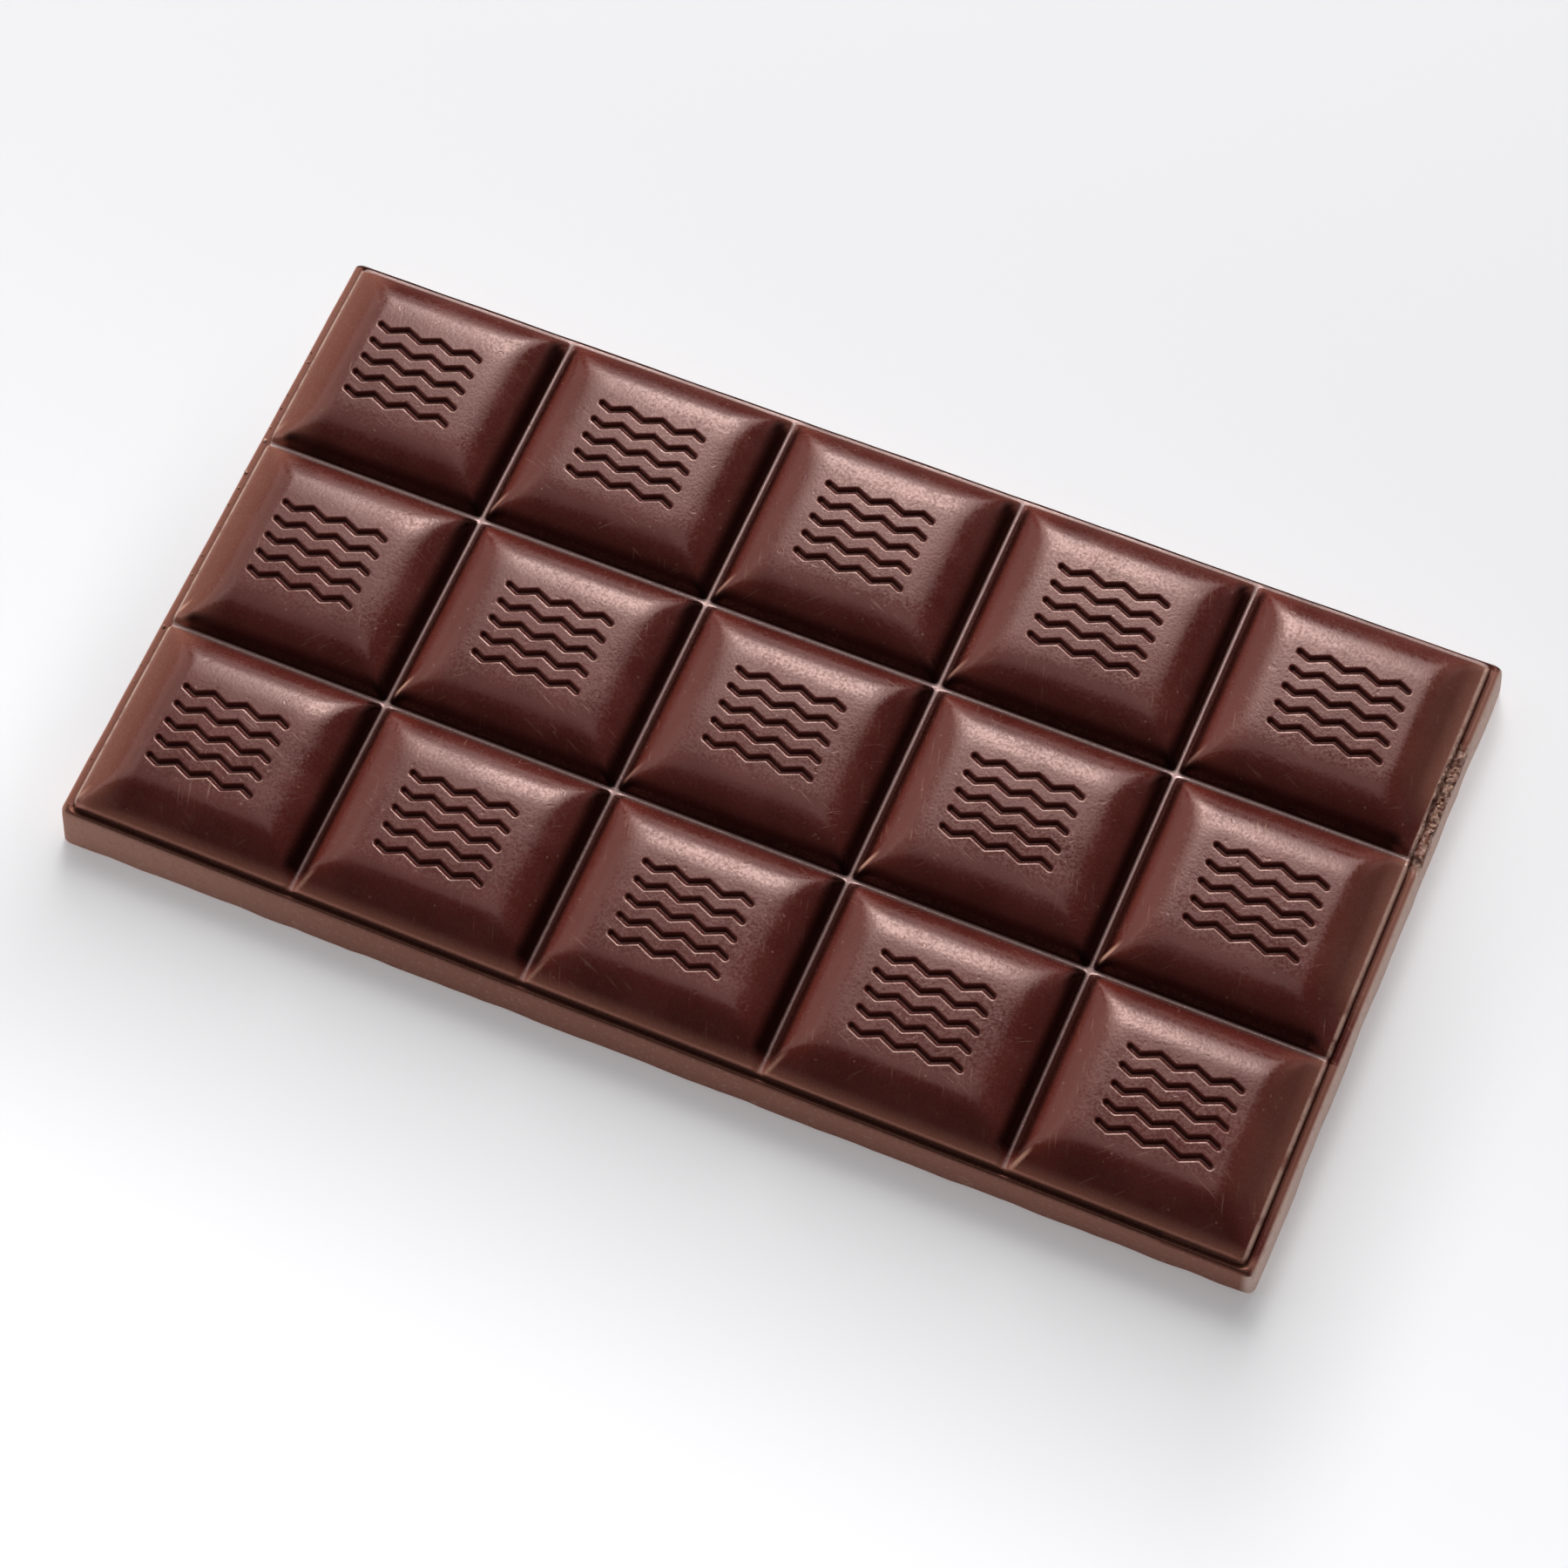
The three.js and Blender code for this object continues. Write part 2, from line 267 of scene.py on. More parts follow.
def handling_marks() -> Tree:
    """Make the group of fine scratches and rubbed smears that handling leaves on chocolate.

    Returns:
        A group with the outputs Scratches and Smears, each from 0 to 1.
    """
    sheet, given = new_group("handling_marks", {"Spread": 1.0}, "Scratches", "Smears")
    place, spread = given["Place"], given["Spread"]
    layers = []
    for turn, stretch, scale in ((24.0, 22.0, 260.0), (-38.0, 26.0, 300.0), (75.0, 18.0, 240.0)):
        turned = sheet.add("VectorRotate", {"Vector": place, "Angle": math.radians(turn)},
                           rotation_type="Z_AXIS").outputs["Vector"]
        lines = sheet.ramp(sheet.noise(turned, scale, 2.0, 0.5, (1.0, stretch, 1.0)), 0.66, 0.74)
        layers.append(sheet.times(lines, sheet.ramp(sheet.noise(turned, 90.0, 1.0), 0.5, 0.62)))
    smears = sheet.ramp(sheet.noise(place, 120.0, 4.0, 0.6, (1.0, 2.2, 1.0)), 0.42, 0.68)
    sheet.add("NodeGroupOutput", {"Scratches": sheet.times(sheet.most(*layers), spread),
                                  "Smears": sheet.times(smears, spread)})
    return sheet.tree


def sandy_texture() -> Tree:
    """Make the group of the fine sandy texture and the tiny light specks of a moulded face.

    Returns:
        A group with the outputs Grit and Specks, each from 0 to 1.
    """
    sheet, given = new_group("sandy_texture", {"Spread": 1.0}, "Grit", "Specks")
    place = given["Place"]
    rare = sheet.ramp(sheet.noise(place, 330.0, 2.0, 0.6), 0.50, 0.62)
    specks = sheet.times(sheet.ramp(sheet.cells(place, 900.0), 0.16, 0.07), rare, given["Spread"])
    sheet.add("NodeGroupOutput", {"Grit": sheet.noise(place, 2900.0, 3.0, 0.6), "Specks": specks})
    return sheet.tree


def broken_grain() -> Tree:
    """Make the group of the coarse grain where chocolate has crumbled.

    Returns:
        A group with the outputs Grain, from 0 to 1, and Height.
    """
    sheet, given = new_group("broken_grain", {"Cells": 2600.0}, "Grain", "Height")
    lumps = sheet.noise(given["Place"], 1500.0, 4.0, 0.65)
    height = sheet.scaled(sheet.cells(given["Place"], given["Cells"]), -0.8, lumps)
    sheet.add("NodeGroupOutput", {"Grain": sheet.ramp(lumps, 0.35, 0.65), "Height": height})
    return sheet.tree


@dataclass(frozen=True)
class Effects:
    """The node groups that the finishes share."""

    marks: Tree = field(default_factory=handling_marks)
    grain: Tree = field(default_factory=broken_grain)
    sand: Tree = field(default_factory=sandy_texture)


@dataclass
class Regions:
    """Masks, from 0 to 1, that tell the parts of the bar apart by where a point is."""

    sheet: ShaderSheet
    place: Socket
    bar: "ChocolateBar"
    end_squares: float = 60.0 * MM
    right_lit: float = -0.45
    dark_ledge: float = 0.40 * MM
    ridge_lean: float = -0.65

    def __post_init__(self) -> None:
        """Measure the point: its place in its square, how far outside the lip, how near a groove."""
        sheet, squares = self.sheet, self.bar.squares
        self.ledge, self.score = self.bar.ledge_level, squares.score_level
        self.half_x, self.half_y = squares.length / 2, squares.width / 2
        self.x, self.y, self.z = sheet.split(self.place)
        self.in_x = sheet.math("WRAP", self.x, self.half_x, -self.half_x)
        self.in_y = sheet.math("WRAP", self.y, self.half_y, -self.half_y)
        self.across = sheet.math("SUBTRACT", sheet.math("ABSOLUTE", self.x), squares.lip_half_length)
        self.along = sheet.most(sheet.math("SUBTRACT", self.y, squares.far_lip),
                                sheet.math("SUBTRACT", -squares.near_lip, self.y))
        self.outward = sheet.most(self.across, self.along)
        self.on_right = sheet.math("GREATER_THAN", self.x, self.end_squares)
        self.groove, self.below = (sheet.add("Attribute", attribute_name=name).outputs["Fac"]
                                   for name in (GROOVE, GROOVE_SIDE))

    def ramp(self, value: Socket, low: float, high: float, level: float = 0.0) -> Socket:
        """Ease a length from 0 to 1 between two limits, in millimetres from a level."""
        return self.sheet.ramp(value, level + low * MM, level + high * MM)

    def gap(self, value: Socket, level: float) -> Socket:
        """Distance of a length from a level, to either side."""
        return self.sheet.math("ABSOLUTE", self.sheet.math("SUBTRACT", value, level))

    def patches(self, scale: float, detail: float, rough: float, low: float, high: float) -> Socket:
        """Irregular patches: where noise is past one limit towards the other."""
        return self.sheet.ramp(self.sheet.noise(self.place, scale, detail, rough), low, high)

    def walls(self) -> Socket:
        """Mask the walls and the outer part of the ledge.

        Returns:
            The mask's socket.
        """
        past_ledge = self.sheet.scaled(self.on_right, -self.dark_ledge, self.outward)
        brink = self.sheet.times(self.ramp(self.z, 0.02, -0.22, self.ledge),
                                 self.ramp(past_ledge, 0.68, 0.95))
        return self.sheet.most(self.ramp(self.z, -0.30, -0.55, self.ledge), brink)

    def unlit_walls(self) -> Socket:
        """Mask the left wall, the far wall and the underside, where shade is painted.

        Returns:
            The mask's socket.
        """
        squares = self.bar.squares
        left_wall = self.sheet.times(self.sheet.math("LESS_THAN", self.x, -squares.lip_half_length),
                                     self.ramp(self.z, -0.5, -0.9, self.ledge),
                                     self.ramp(self.y, -34.0, -22.0))
        return self.sheet.most(left_wall, self.ramp(self.y, 0.15, 0.35, squares.far_lip),
                               self.ramp(self.z, 0.04, 0.01))

    def crumbled(self) -> Socket:
        """Mask the stretch of ledge that has crumbled.

        Returns:
            The mask's socket.
        """
        lost = self.bar.crumbled
        return self.sheet.times(
            self.ramp(self.y, -0.8, 0.8, lost.start), self.ramp(self.y, 0.8, -0.8, lost.end),
            self.ramp(self.x, -0.25, 0.15, lost.inner), self.ramp(self.z, -1.2, -0.6, self.ledge))

    def lit_score_floors(self) -> Socket:
        """Mask the painted light on the floors of the score lines, stronger at the back and in the lines
        along the bar.

        Returns:
            The mask's socket.
        """
        off_row = self.gap(self.sheet.math("ABSOLUTE", self.y), self.half_y)
        strength = self.sheet.scaled(self.ramp(self.y, -38.0, 20.0), 0.40, 0.38)
        strength = self.sheet.scaled(self.ramp(off_row, 0.5, 0.3), 0.25, strength)
        return self.sheet.times(self.ramp(self.z, 0.10, 0.03, self.score),
                                self.sheet.math("LESS_THAN", self.outward, 0.05 * MM), strength)

    def lit_left_flanks(self) -> Socket:
        """Mask the painted light on the flanks on the -X side of the squares."""
        return self.ramp(self.in_x, 7.0, 3.0, -self.half_x)

    def shaded_groove_beds(self) -> Socket:
        """Mask the painted shade in the beds of the engraved lines, wider on their -Y side."""
        return self.ramp(self.sheet.scaled(self.below, 0.08 * MM, self.groove), 0.32, 0.14)

    def groove_lip_highlights(self) -> Socket:
        """Mask the flecked painted highlight on the lips on the -Y side of the engraved lines."""
        flecks = self.patches(650.0, 3.0, 0.6, 0.40, 0.56)
        return self.sheet.times(self.ramp(self.groove, 0.34, 0.42), self.ramp(self.groove, 0.60, 0.50),
                                flecks, self.sheet.ramp(self.below, 0.0, 0.6))

    def lip_highlights(self) -> Socket:
        """Mask the patchy light line along the lip of the short sides, a painted highlight, stronger towards
        -X.

        Returns:
            The mask's socket.
        """
        off_lip = self.sheet.times(self.gap(self.across, 0.08 * MM),
                                   self.sheet.scaled(self.on_right, self.right_lit, 1.0))
        return self.sheet.times(self.ramp(off_lip, 0.20, 0.08), self.ramp(self.z, 0.45, 0.70, self.ledge),
                                self.sheet.scaled(self.ramp(self.x, 10.0, -10.0), 0.30, 0.65),
                                self.patches(420.0, 4.0, 0.7, 0.25, 0.55))

    def lit_rim_strips(self) -> Socket:
        """Mask the painted light on strips of the outermost flanks beside the lip, stronger towards the back.

        Returns:
            The mask's socket.
        """
        sheet = self.sheet
        upper = self.ramp(self.in_y, -9.5, -3.0)
        farther = sheet.scaled(self.ramp(self.y, -30.0, 20.0), 0.34, 0.50)
        strips = (
            (self.along, -1.5, -0.2, sheet.math("LESS_THAN", self.y, -30.0 * MM), 0.75),
            (self.along, -2.4, -0.5, sheet.math("GREATER_THAN", self.y, 30.0 * MM), 0.30),
            (self.across, -6.5, -0.8, sheet.math("LESS_THAN", self.x, -self.end_squares), 0.75),
            (self.across, -6.5, -1.5, self.on_right, sheet.times(upper, 0.26)),
            (self.across, -3.0, -0.2, self.on_right, sheet.times(upper, farther)),
        )
        return sheet.most(*(sheet.times(self.ramp(outward, low, high), side, strength)
                            for outward, low, high, side, strength in strips))

    def glints(self) -> Socket:
        """Mask the painted highlights: short bright streaks on the ridges at the near left corners of the
        squares.

        Returns:
            The mask's socket.
        """
        sheet = self.sheet
        from_left = sheet.math("ADD", self.in_x, self.half_x - 0.1 * MM)
        from_near = sheet.math("ADD", self.in_y, self.half_y)
        off_ridge = sheet.math("ABSOLUTE", sheet.scaled(from_near, self.ridge_lean, from_left))
        reach = sheet.math("ADD", from_left, from_near)
        return sheet.times(self.ramp(reach, 1.2, 2.4), self.ramp(reach, 6.0, 3.4),
                           self.ramp(off_ridge, 0.42, 0.06), self.ramp(self.z, 0.15, 0.45, self.score),
                           sheet.scaled(self.patches(48.0, 1.0, 0.5, 0.40, 0.60), 0.65, 0.35),
                           sheet.scaled(self.ramp(self.y, 20.0, -20.0), 0.35, 0.65))

    def painted_shade_places(self) -> Socket:
        """Mask the painted shade: the dim feet of the flanks, the step of the rim and the beds of the
        engraved lines.

        Returns:
            The mask's socket.
        """
        sheet, squares = self.sheet, self.bar.squares
        feet = sheet.most(self.ramp(self.in_x, -2.0, -0.9, self.half_x),
                          sheet.times(self.ramp(self.in_x, 1.9, 1.1, -self.half_x), 0.7),
                          self.ramp(self.in_y, 2.0, 0.8, -self.half_y))
        feet = sheet.times(feet, self.ramp(self.outward, -0.9, -2.4))
        on_near = sheet.math("LESS_THAN", self.y, 0.02 * MM - squares.near_lip)
        reach = sheet.scaled(on_near, -0.50 * MM, self.outward)
        step = sheet.most(sheet.times(self.ramp(self.outward, 0.12, 0.30), self.ramp(reach, 0.58, 0.42)),
                          self.ramp(self.y, 0.02, 0.10, squares.far_lip))
        lit = sheet.most(self.on_right, sheet.times(on_near, 0.7))
        step = sheet.times(step, sheet.scaled(lit, self.right_lit, 1.0))
        painted_shade = sheet.times(sheet.most(feet, step), self.ramp(self.z, -0.3, -0.2, self.ledge))
        return sheet.most(painted_shade, sheet.times(self.shaded_groove_beds(), 0.8))


@dataclass(frozen=True)
class ChocolateFinish:
    """Tempered dark chocolate: a soft sheen on the moulded face and duller side walls."""

    name: str = "dark_chocolate"
    body: Colour = (0.114, 0.0185, 0.0138, 1.0)
    haze: Colour = (0.152, 0.0300, 0.0235, 1.0)
    # Painted shade at the feet of the flanks, in the rim's step and in the engraved lines.
    painted_shade: Colour = (0.012, 0.0030, 0.0025, 1.0)
    # Painted light on the floors of the score lines.
    painted_floor_light: Colour = (0.38, 0.255, 0.24, 1.0)
    # Light tone of the painted highlights on the lips, also of the wall flecks and the crumbled grain.
    wear_and_highlight: Colour = (0.72, 0.48, 0.39, 1.0)
    # Painted light on the outermost flanks; also the wall's lighter blotches.
    rim_light_and_blotches: Colour = (0.38, 0.150, 0.105, 1.0)
    broken: Colour = (0.22, 0.075, 0.048, 1.0)
    wall: Colour = (0.420, 0.180, 0.130, 1.0)
    # Painted light: the walls grow lighter towards the -X end.
    left_lit_wall: Colour = (0.680, 0.350, 0.270, 1.0)
    # Painted reflection on the +X wall.
    right_wall_reflection: Colour = (0.90, 0.65, 0.56, 1.0)
    # Painted shade on the left wall, the far wall and the underside.
    unlit_wall: Colour = (0.17, 0.070, 0.050, 1.0)
    # Warm painted light on the flanks that face -X.
    painted_left_light: Colour = (0.23, 0.040, 0.025, 1.0)
    # Painted highlight on the corner ridges.
    glint: Colour = (0.95, 0.50, 0.36, 1.0)
    crumb: Colour = (0.72, 0.42, 0.30, 1.0)
    sheen_roughness: float = 0.23
    wall_roughness: float = 0.75
    broken_roughness: float = 0.8
    # How much Metallic darkens the reflections where shade is painted.
    painted_shade_dulling: float = 0.75
    marks_spread: float = 1.0
    specks_spread: float = 1.0
    grain_cells: float = 2600.0
    refraction: float = 1.79
    sheen: Colour = (1.0, 0.70, 0.64, 1.0)
    bump_height: float = 0.02 * MM

    @classmethod
    def of_the_walls(cls) -> "ChocolateFinish":
        """The duller finish of the rim's step, the ledge and the walls."""
        return cls(name="dark_chocolate_walls", refraction=1.30, sheen=(1.0, 0.85, 0.80, 1.0))

    def _wall_tone(self, sheet: ShaderSheet, at: Regions) -> Socket:
        """Colour the walls: painted light makes them lighter towards the -X end, a painted reflection
        lightens the +X wall and painted shade darkens the left and far walls and the underside.

        Args:
            sheet: The material's node tree.
            at: The bar's regions.

        Returns:
            The colour's socket.
        """
        speckle = at.patches(1700.0, 3.0, 0.7, 0.52, 0.74)
        blotches = at.patches(1300.0, 3.0, 0.7, 0.48, 0.28)
        unlit_walls = at.unlit_walls()
        tone = sheet.mix(at.ramp(at.x, -20.0, -78.0), self.wall, self.left_lit_wall)
        tone = sheet.mix(at.ramp(at.x, 0.0, 1.2, at.bar.squares.lip_half_length), tone, self.right_wall_reflection)
        tone = sheet.mix(unlit_walls, tone, self.unlit_wall)
        tone = sheet.mix(sheet.times(speckle, sheet.scaled(unlit_walls, -0.35, 0.45)), tone, self.wear_and_highlight)
        return sheet.mix(sheet.times(blotches, 0.35), tone, self.rim_light_and_blotches)

    def material(self, effects: Effects, bar: "ChocolateBar") -> bpy.types.Material:
        """Build the material.

        Args:
            effects: The shared node groups.
            bar: The bar, whose sizes tell its regions apart.

        Returns:
            The bar's material.
        """
        material, sheet, place = ShaderSheet.of_material(self.name)
        marks = sheet.group(effects.marks, {"Place": place, "Spread": self.marks_spread})
        grain = sheet.group(effects.grain, {"Place": place, "Cells": self.grain_cells})
        sand = sheet.group(effects.sand, {"Place": place, "Spread": self.specks_spread})
        at = Regions(sheet, place, bar)
        wall, crumbled, glints = at.walls(), at.crumbled(), at.glints()
        # Painted shade, left off where a glint is painted.
        painted_shade = sheet.times(at.painted_shade_places(), sheet.math("SUBTRACT", 1.0, glints))

        tone = sheet.mix(at.patches(190.0, 5.0, 0.55, 0.3, 0.75), self.body, self.haze)
        for mask, strength, colour in (
            # painted light on the flanks that face -X
            (at.lit_left_flanks(), 0.45, self.painted_left_light),
            (marks["Smears"], 0.18, self.haze),
            (marks["Scratches"], 0.22, self.crumb),
            (sand["Specks"], 0.30, self.crumb),
            # painted light on the outermost flanks
            (at.lit_rim_strips(), 1.0, self.rim_light_and_blotches),
            # painted highlight on the lips of the engraved lines
            (at.groove_lip_highlights(), 0.42, self.wear_and_highlight),
            # painted shade in creases and recesses
            (painted_shade, 0.85, self.painted_shade),
            # painted highlight on the corner ridges
            (glints, 1.0, self.glint),
            # painted light on the score floors
            (at.lit_score_floors(), 1.0, self.painted_floor_light),
            # painted highlight along the lip of the short sides
            (at.lip_highlights(), 1.0, self.wear_and_highlight),
            # walls, with painted light, reflection and shade
            (wall, 1.0, self._wall_tone(sheet, at)),
            (crumbled, 1.0, sheet.mix(grain["Grain"], self.broken, self.wear_and_highlight)),
        ):
            tone = sheet.mix(sheet.times(mask, strength), tone, colour)

        rough = self.sheen_roughness
        for source, strength in (
            (marks["Smears"], 0.10),
            (marks["Scratches"], 0.12),
            (sheet.math("SUBTRACT", sand["Grit"], 0.5), 0.85),
            (painted_shade, 0.15),
        ):
            rough = sheet.scaled(source, strength, rough)
        rough = sheet.most(rough, sheet.times(wall, self.wall_roughness))
        rough = sheet.math("MAXIMUM", rough, sheet.times(crumbled, self.broken_roughness), clamp=True)

        height = sheet.times(at.patches(700.0, 1.0, 0.5, 0.24, 0.30), 0.6)
        for source, strength in (
            (sheet.noise(place, 900.0, 4.0, 0.6), 0.25),
            (marks["Scratches"], -0.25),
            (sand["Grit"], sheet.scaled(painted_shade, -0.9, 1.0)),
            (sand["Specks"], 0.25),
            (grain["Height"], sheet.times(crumbled, 6.0)),
            (sheet.noise(place, 1800.0, 4.0, 0.7), sheet.times(wall, 1.6)),
        ):
            height = sheet.scaled(source, strength, height)

        # Metallic darkens the reflections where shade is painted.
        sheet.surface({
            "Base Color": tone, "Roughness": rough, "Metallic": sheet.times(painted_shade, self.painted_shade_dulling),
            "Normal": sheet.bump(height, self.bump_height),
            "IOR": self.refraction, "Specular Tint": self.sheen,
        })
        return material


@dataclass(frozen=True)
class CrumbFinish:
    """The dull, lighter inside of chocolate that shows on a broken crumb."""

    name: str = "chocolate_crumb"
    dark: Colour = (0.26, 0.090, 0.055, 1.0)
    light: Colour = (0.85, 0.53, 0.38, 1.0)
    roughness: float = 0.7
    grain_cells: float = 2600.0
    bump_height: float = 0.05 * MM

    def material(self, effects: Effects) -> bpy.types.Material:
        """Build the material.

        Args:
            effects: The shared node groups.

        Returns:
            The crumbs' material.
        """
        material, sheet, place = ShaderSheet.of_material(self.name)
        grain = sheet.group(effects.grain, {"Place": place, "Cells": self.grain_cells})
        sheet.surface({
            "Base Color": sheet.mix(grain["Grain"], self.dark, self.light), "Roughness": self.roughness,
            "Normal": sheet.bump(grain["Height"], self.bump_height),
        })
        return material


@dataclass(frozen=True)
class GroundFinish:
    """A plain pale matte surface that glows a little, with a painted shadow: less glow in a soft patch about
    the bar.
    """

    name: str = "pale_ground"
    far_colour: Colour = (0.70, 0.70, 0.71, 1.0)
    near_colour: Colour = (0.96, 0.96, 0.97, 1.0)
    far_glow: Colour = (0.80, 0.80, 0.82, 1.0)
    near_glow: Colour = (1.36, 1.36, 1.39, 1.0)
    # Glow inside the painted shadow.
    shaded_glow: Colour = (0.0, 0.0, 0.0, 1.0)
    glow_strength: float = 0.40
    shade: float = 0.50
    roughness: float = 0.9
    toning: Span = (300.0 * MM, -300.0 * MM)
    glowing: Span = (80.0 * MM, -120.0 * MM)
    shade_left: Span = (-88.0 * MM, -66.0 * MM)
    shade_right: Span = (92.0 * MM, 70.0 * MM)
    shade_near: Span = (-82.0 * MM, -38.0 * MM)
    shade_far: Span = (38.0 * MM, -20.0 * MM)

    def material(self) -> bpy.types.Material:
        """Build the material.

        Returns:
            The ground's material.
        """
        material, sheet, place = ShaderSheet.of_material(self.name)
        x, y, _ = sheet.split(place)
        glow = sheet.mix(sheet.ramp(y, *self.glowing), self.far_glow, self.near_glow)
        sides = ((x, self.shade_left), (x, self.shade_right), (y, self.shade_near), (y, self.shade_far))
        # Painted shadow: the glow fades in a soft patch over the bar's near half.
        shade = sheet.times(*(sheet.ramp(value, *span) for value, span in sides), self.shade)
        sheet.surface({
            "Base Color": sheet.mix(sheet.ramp(y, *self.toning, smooth=False),
                                    self.far_colour, self.near_colour),
            "Roughness": self.roughness, "Specular IOR Level": 0.0,
            "Emission Color": sheet.mix(shade, glow, self.shaded_glow),
            "Emission Strength": self.glow_strength,
        })
        return material


# ---- The bar --------------------------------------------------------------------------------


@dataclass(frozen=True)
class Crumbled:
    """The stretch of ledge on the short +X side whose skin has crumbled away."""

    start: float = 12.0 * MM
    end: float = 27.0 * MM
    inner: float = 68.85 * MM
    bite: float = 0.55 * MM
    least: float = 0.01
    grain_size: float = 0.9 * MM
    chunk_size: float = 3.0 * MM
    easing: Span = (-1.5 * MM, 1.0 * MM)
    edge: Span = (-0.1 * MM, 0.2 * MM)
    foot: Span = (-2.0 * MM, -0.3 * MM)

    def crumble(self, x: Array, y: Array, z: Array, ledge: float) -> None:
        """Bite grains and chunks out of the stretch.

        Args:
            x: Places along the bar, which change.
            y: Places across the bar.
            z: Heights, which change.
            ledge: Height of the ledge.
        """
        share = smooth_step(y, self.start + self.easing[0], self.start + self.easing[1])
        share = share * (1 - smooth_step(y, self.end - self.easing[1], self.end - self.easing[0]))
        share = share * smooth_step(x, self.inner + self.edge[0], self.inner + self.edge[1])
        share = share * smooth_step(z, ledge + self.foot[0], ledge + self.foot[1])
        bitten = np.flatnonzero(share > self.least)
        spot = np.stack([x[bitten], y[bitten], z[bitten]], 1)
        rough = fractal_noise(spot, self.grain_size, seed=5.3)
        chunk = fractal_noise(spot, self.chunk_size, seed=1.9)
        depth = share[bitten] * self.bite
        z[bitten] += depth * (1.1 * rough + 0.5 * chunk - 0.2)
        x[bitten] -= depth * np.abs(rough + 0.6 * chunk)


@dataclass
class Waves:
    """The engraved lines of one square: zigzags with straight strokes and round ends."""

    lines: int = 5
    pitch: float = 2.24 * MM
    stroke: float = 2.0 * MM
    swing: float = 0.87 * MM
    turns: int = 6
    tail: float = 0.64
    depth: float = 0.50 * MM
    floor_half: float = 0.11 * MM
    mouth_half: float = 0.45 * MM
    lip_round: float = 0.09 * MM
    lip_margin: float = 0.12 * MM
    beside_turn: float = 0.2 * MM

    # Lines of the mesh about the end of a groove, in millimetres.
    CAP_STATIONS = (-0.12, 0.0, 0.12, 0.24, 0.35, 0.43, 0.51, 0.64)

    def centre_line(self) -> Array:
        """Lay out the centre line of one groove about its own middle.

        Returns:
            The corners and the two ends, one row each.
        """
        steps = np.arange(self.turns) - (self.turns - 1) / 2
        crests = np.where(np.arange(self.turns) % 2, 0.5, -0.5) * self.swing
        corners = np.stack([steps * self.stroke, crests], 1)
        reach = np.array([self.stroke, -self.swing]) * self.tail
        return np.vstack([corners[0] - reach, corners, corners[-1] + reach])

    def rise_at(self, x: Array) -> Array:
        """Height of the zigzag at places along it, level beyond its ends."""
        line = self.centre_line()
        return np.interp(x, line[:, 0], line[:, 1])

    def middles(self) -> Array:
        """Places of the lines' middles across the square."""
        return (np.arange(self.lines) - (self.lines - 1) / 2) * self.pitch

    def distance(self, x: Array, y: Array) -> Array:
        """Distance to the nearest centre line.

        Args:
            x: Places along the square, about its middle.
            y: Places across the square, about its middle.

        Returns:
            The distances.
        """
        line = self.centre_line()
        nearest = np.full(x.shape, np.inf)
        for middle in self.middles():
            for start, end in zip(line[:-1], line[1:]):
                way = end - start
                share = ((x - start[0]) * way[0] + (y - middle - start[1]) * way[1]) / (way @ way)
                share = np.clip(share, 0.0, 1.0)
                gap = np.hypot(x - start[0] - share * way[0], y - middle - start[1] - share * way[1])
                nearest = np.minimum(nearest, gap)
        return nearest

    def is_below(self, x: Array, y: Array) -> Array:
        """Tell which places are on the -Y side of the centre line next to them.

        Args:
            x: Places along the square, about its middle.
            y: Places across the square, about its middle.

        Returns:
            Whether each place is on that side.
        """
        offset = y - self.rise_at(x)
        line = np.clip(np.round(offset / self.pitch), -(self.lines // 2), self.lines // 2)
        return offset < line * self.pitch

    def depth_at(self, distance: Array) -> Array:
        """Work out the depth of a groove, with a rounded lip.

        Args:
            distance: Distances from its centre line.

        Returns:
            The depths.
        """
        slope = self.depth / (self.mouth_half - self.lip_round / 2 - self.floor_half)
        wall = slope * (self.mouth_half - self.lip_round / 2 - distance)
        bend = slope * self.lip_round / 2
        soft = np.where(wall > bend, wall, np.maximum(wall + bend, 0.0) ** 2 / (4 * bend))
        return np.minimum(soft, self.depth)

    def stations(self) -> list[float]:
        """List where the section of a groove bends.

        Returns:
            Places across the groove, from one lip to the other.
        """
        half = [self.floor_half, 0.5 * (self.floor_half + self.mouth_half),
                self.mouth_half - self.lip_round, self.mouth_half, self.mouth_half + self.lip_margin]
        tilt = math.hypot(1.0, self.swing / self.stroke)
        return [tilt * side for side in [-h for h in reversed(half)] + half]

    def columns(self) -> list[float]:
        """List where the zigzag turns or ends.

        Returns:
            Places along the square, on its positive side.
        """
        places = [0.0]
        for k in range(self.turns // 2):
            corner = (k + 0.5) * self.stroke
            places += [corner - self.beside_turn, corner, corner + self.beside_turn, (k + 1) * self.stroke]
        cap = self.centre_line()[-1, 0]
        places[-1] = 0.5 * (places[-2] + cap)
        return places + [cap + step * MM for step in self.CAP_STATIONS]


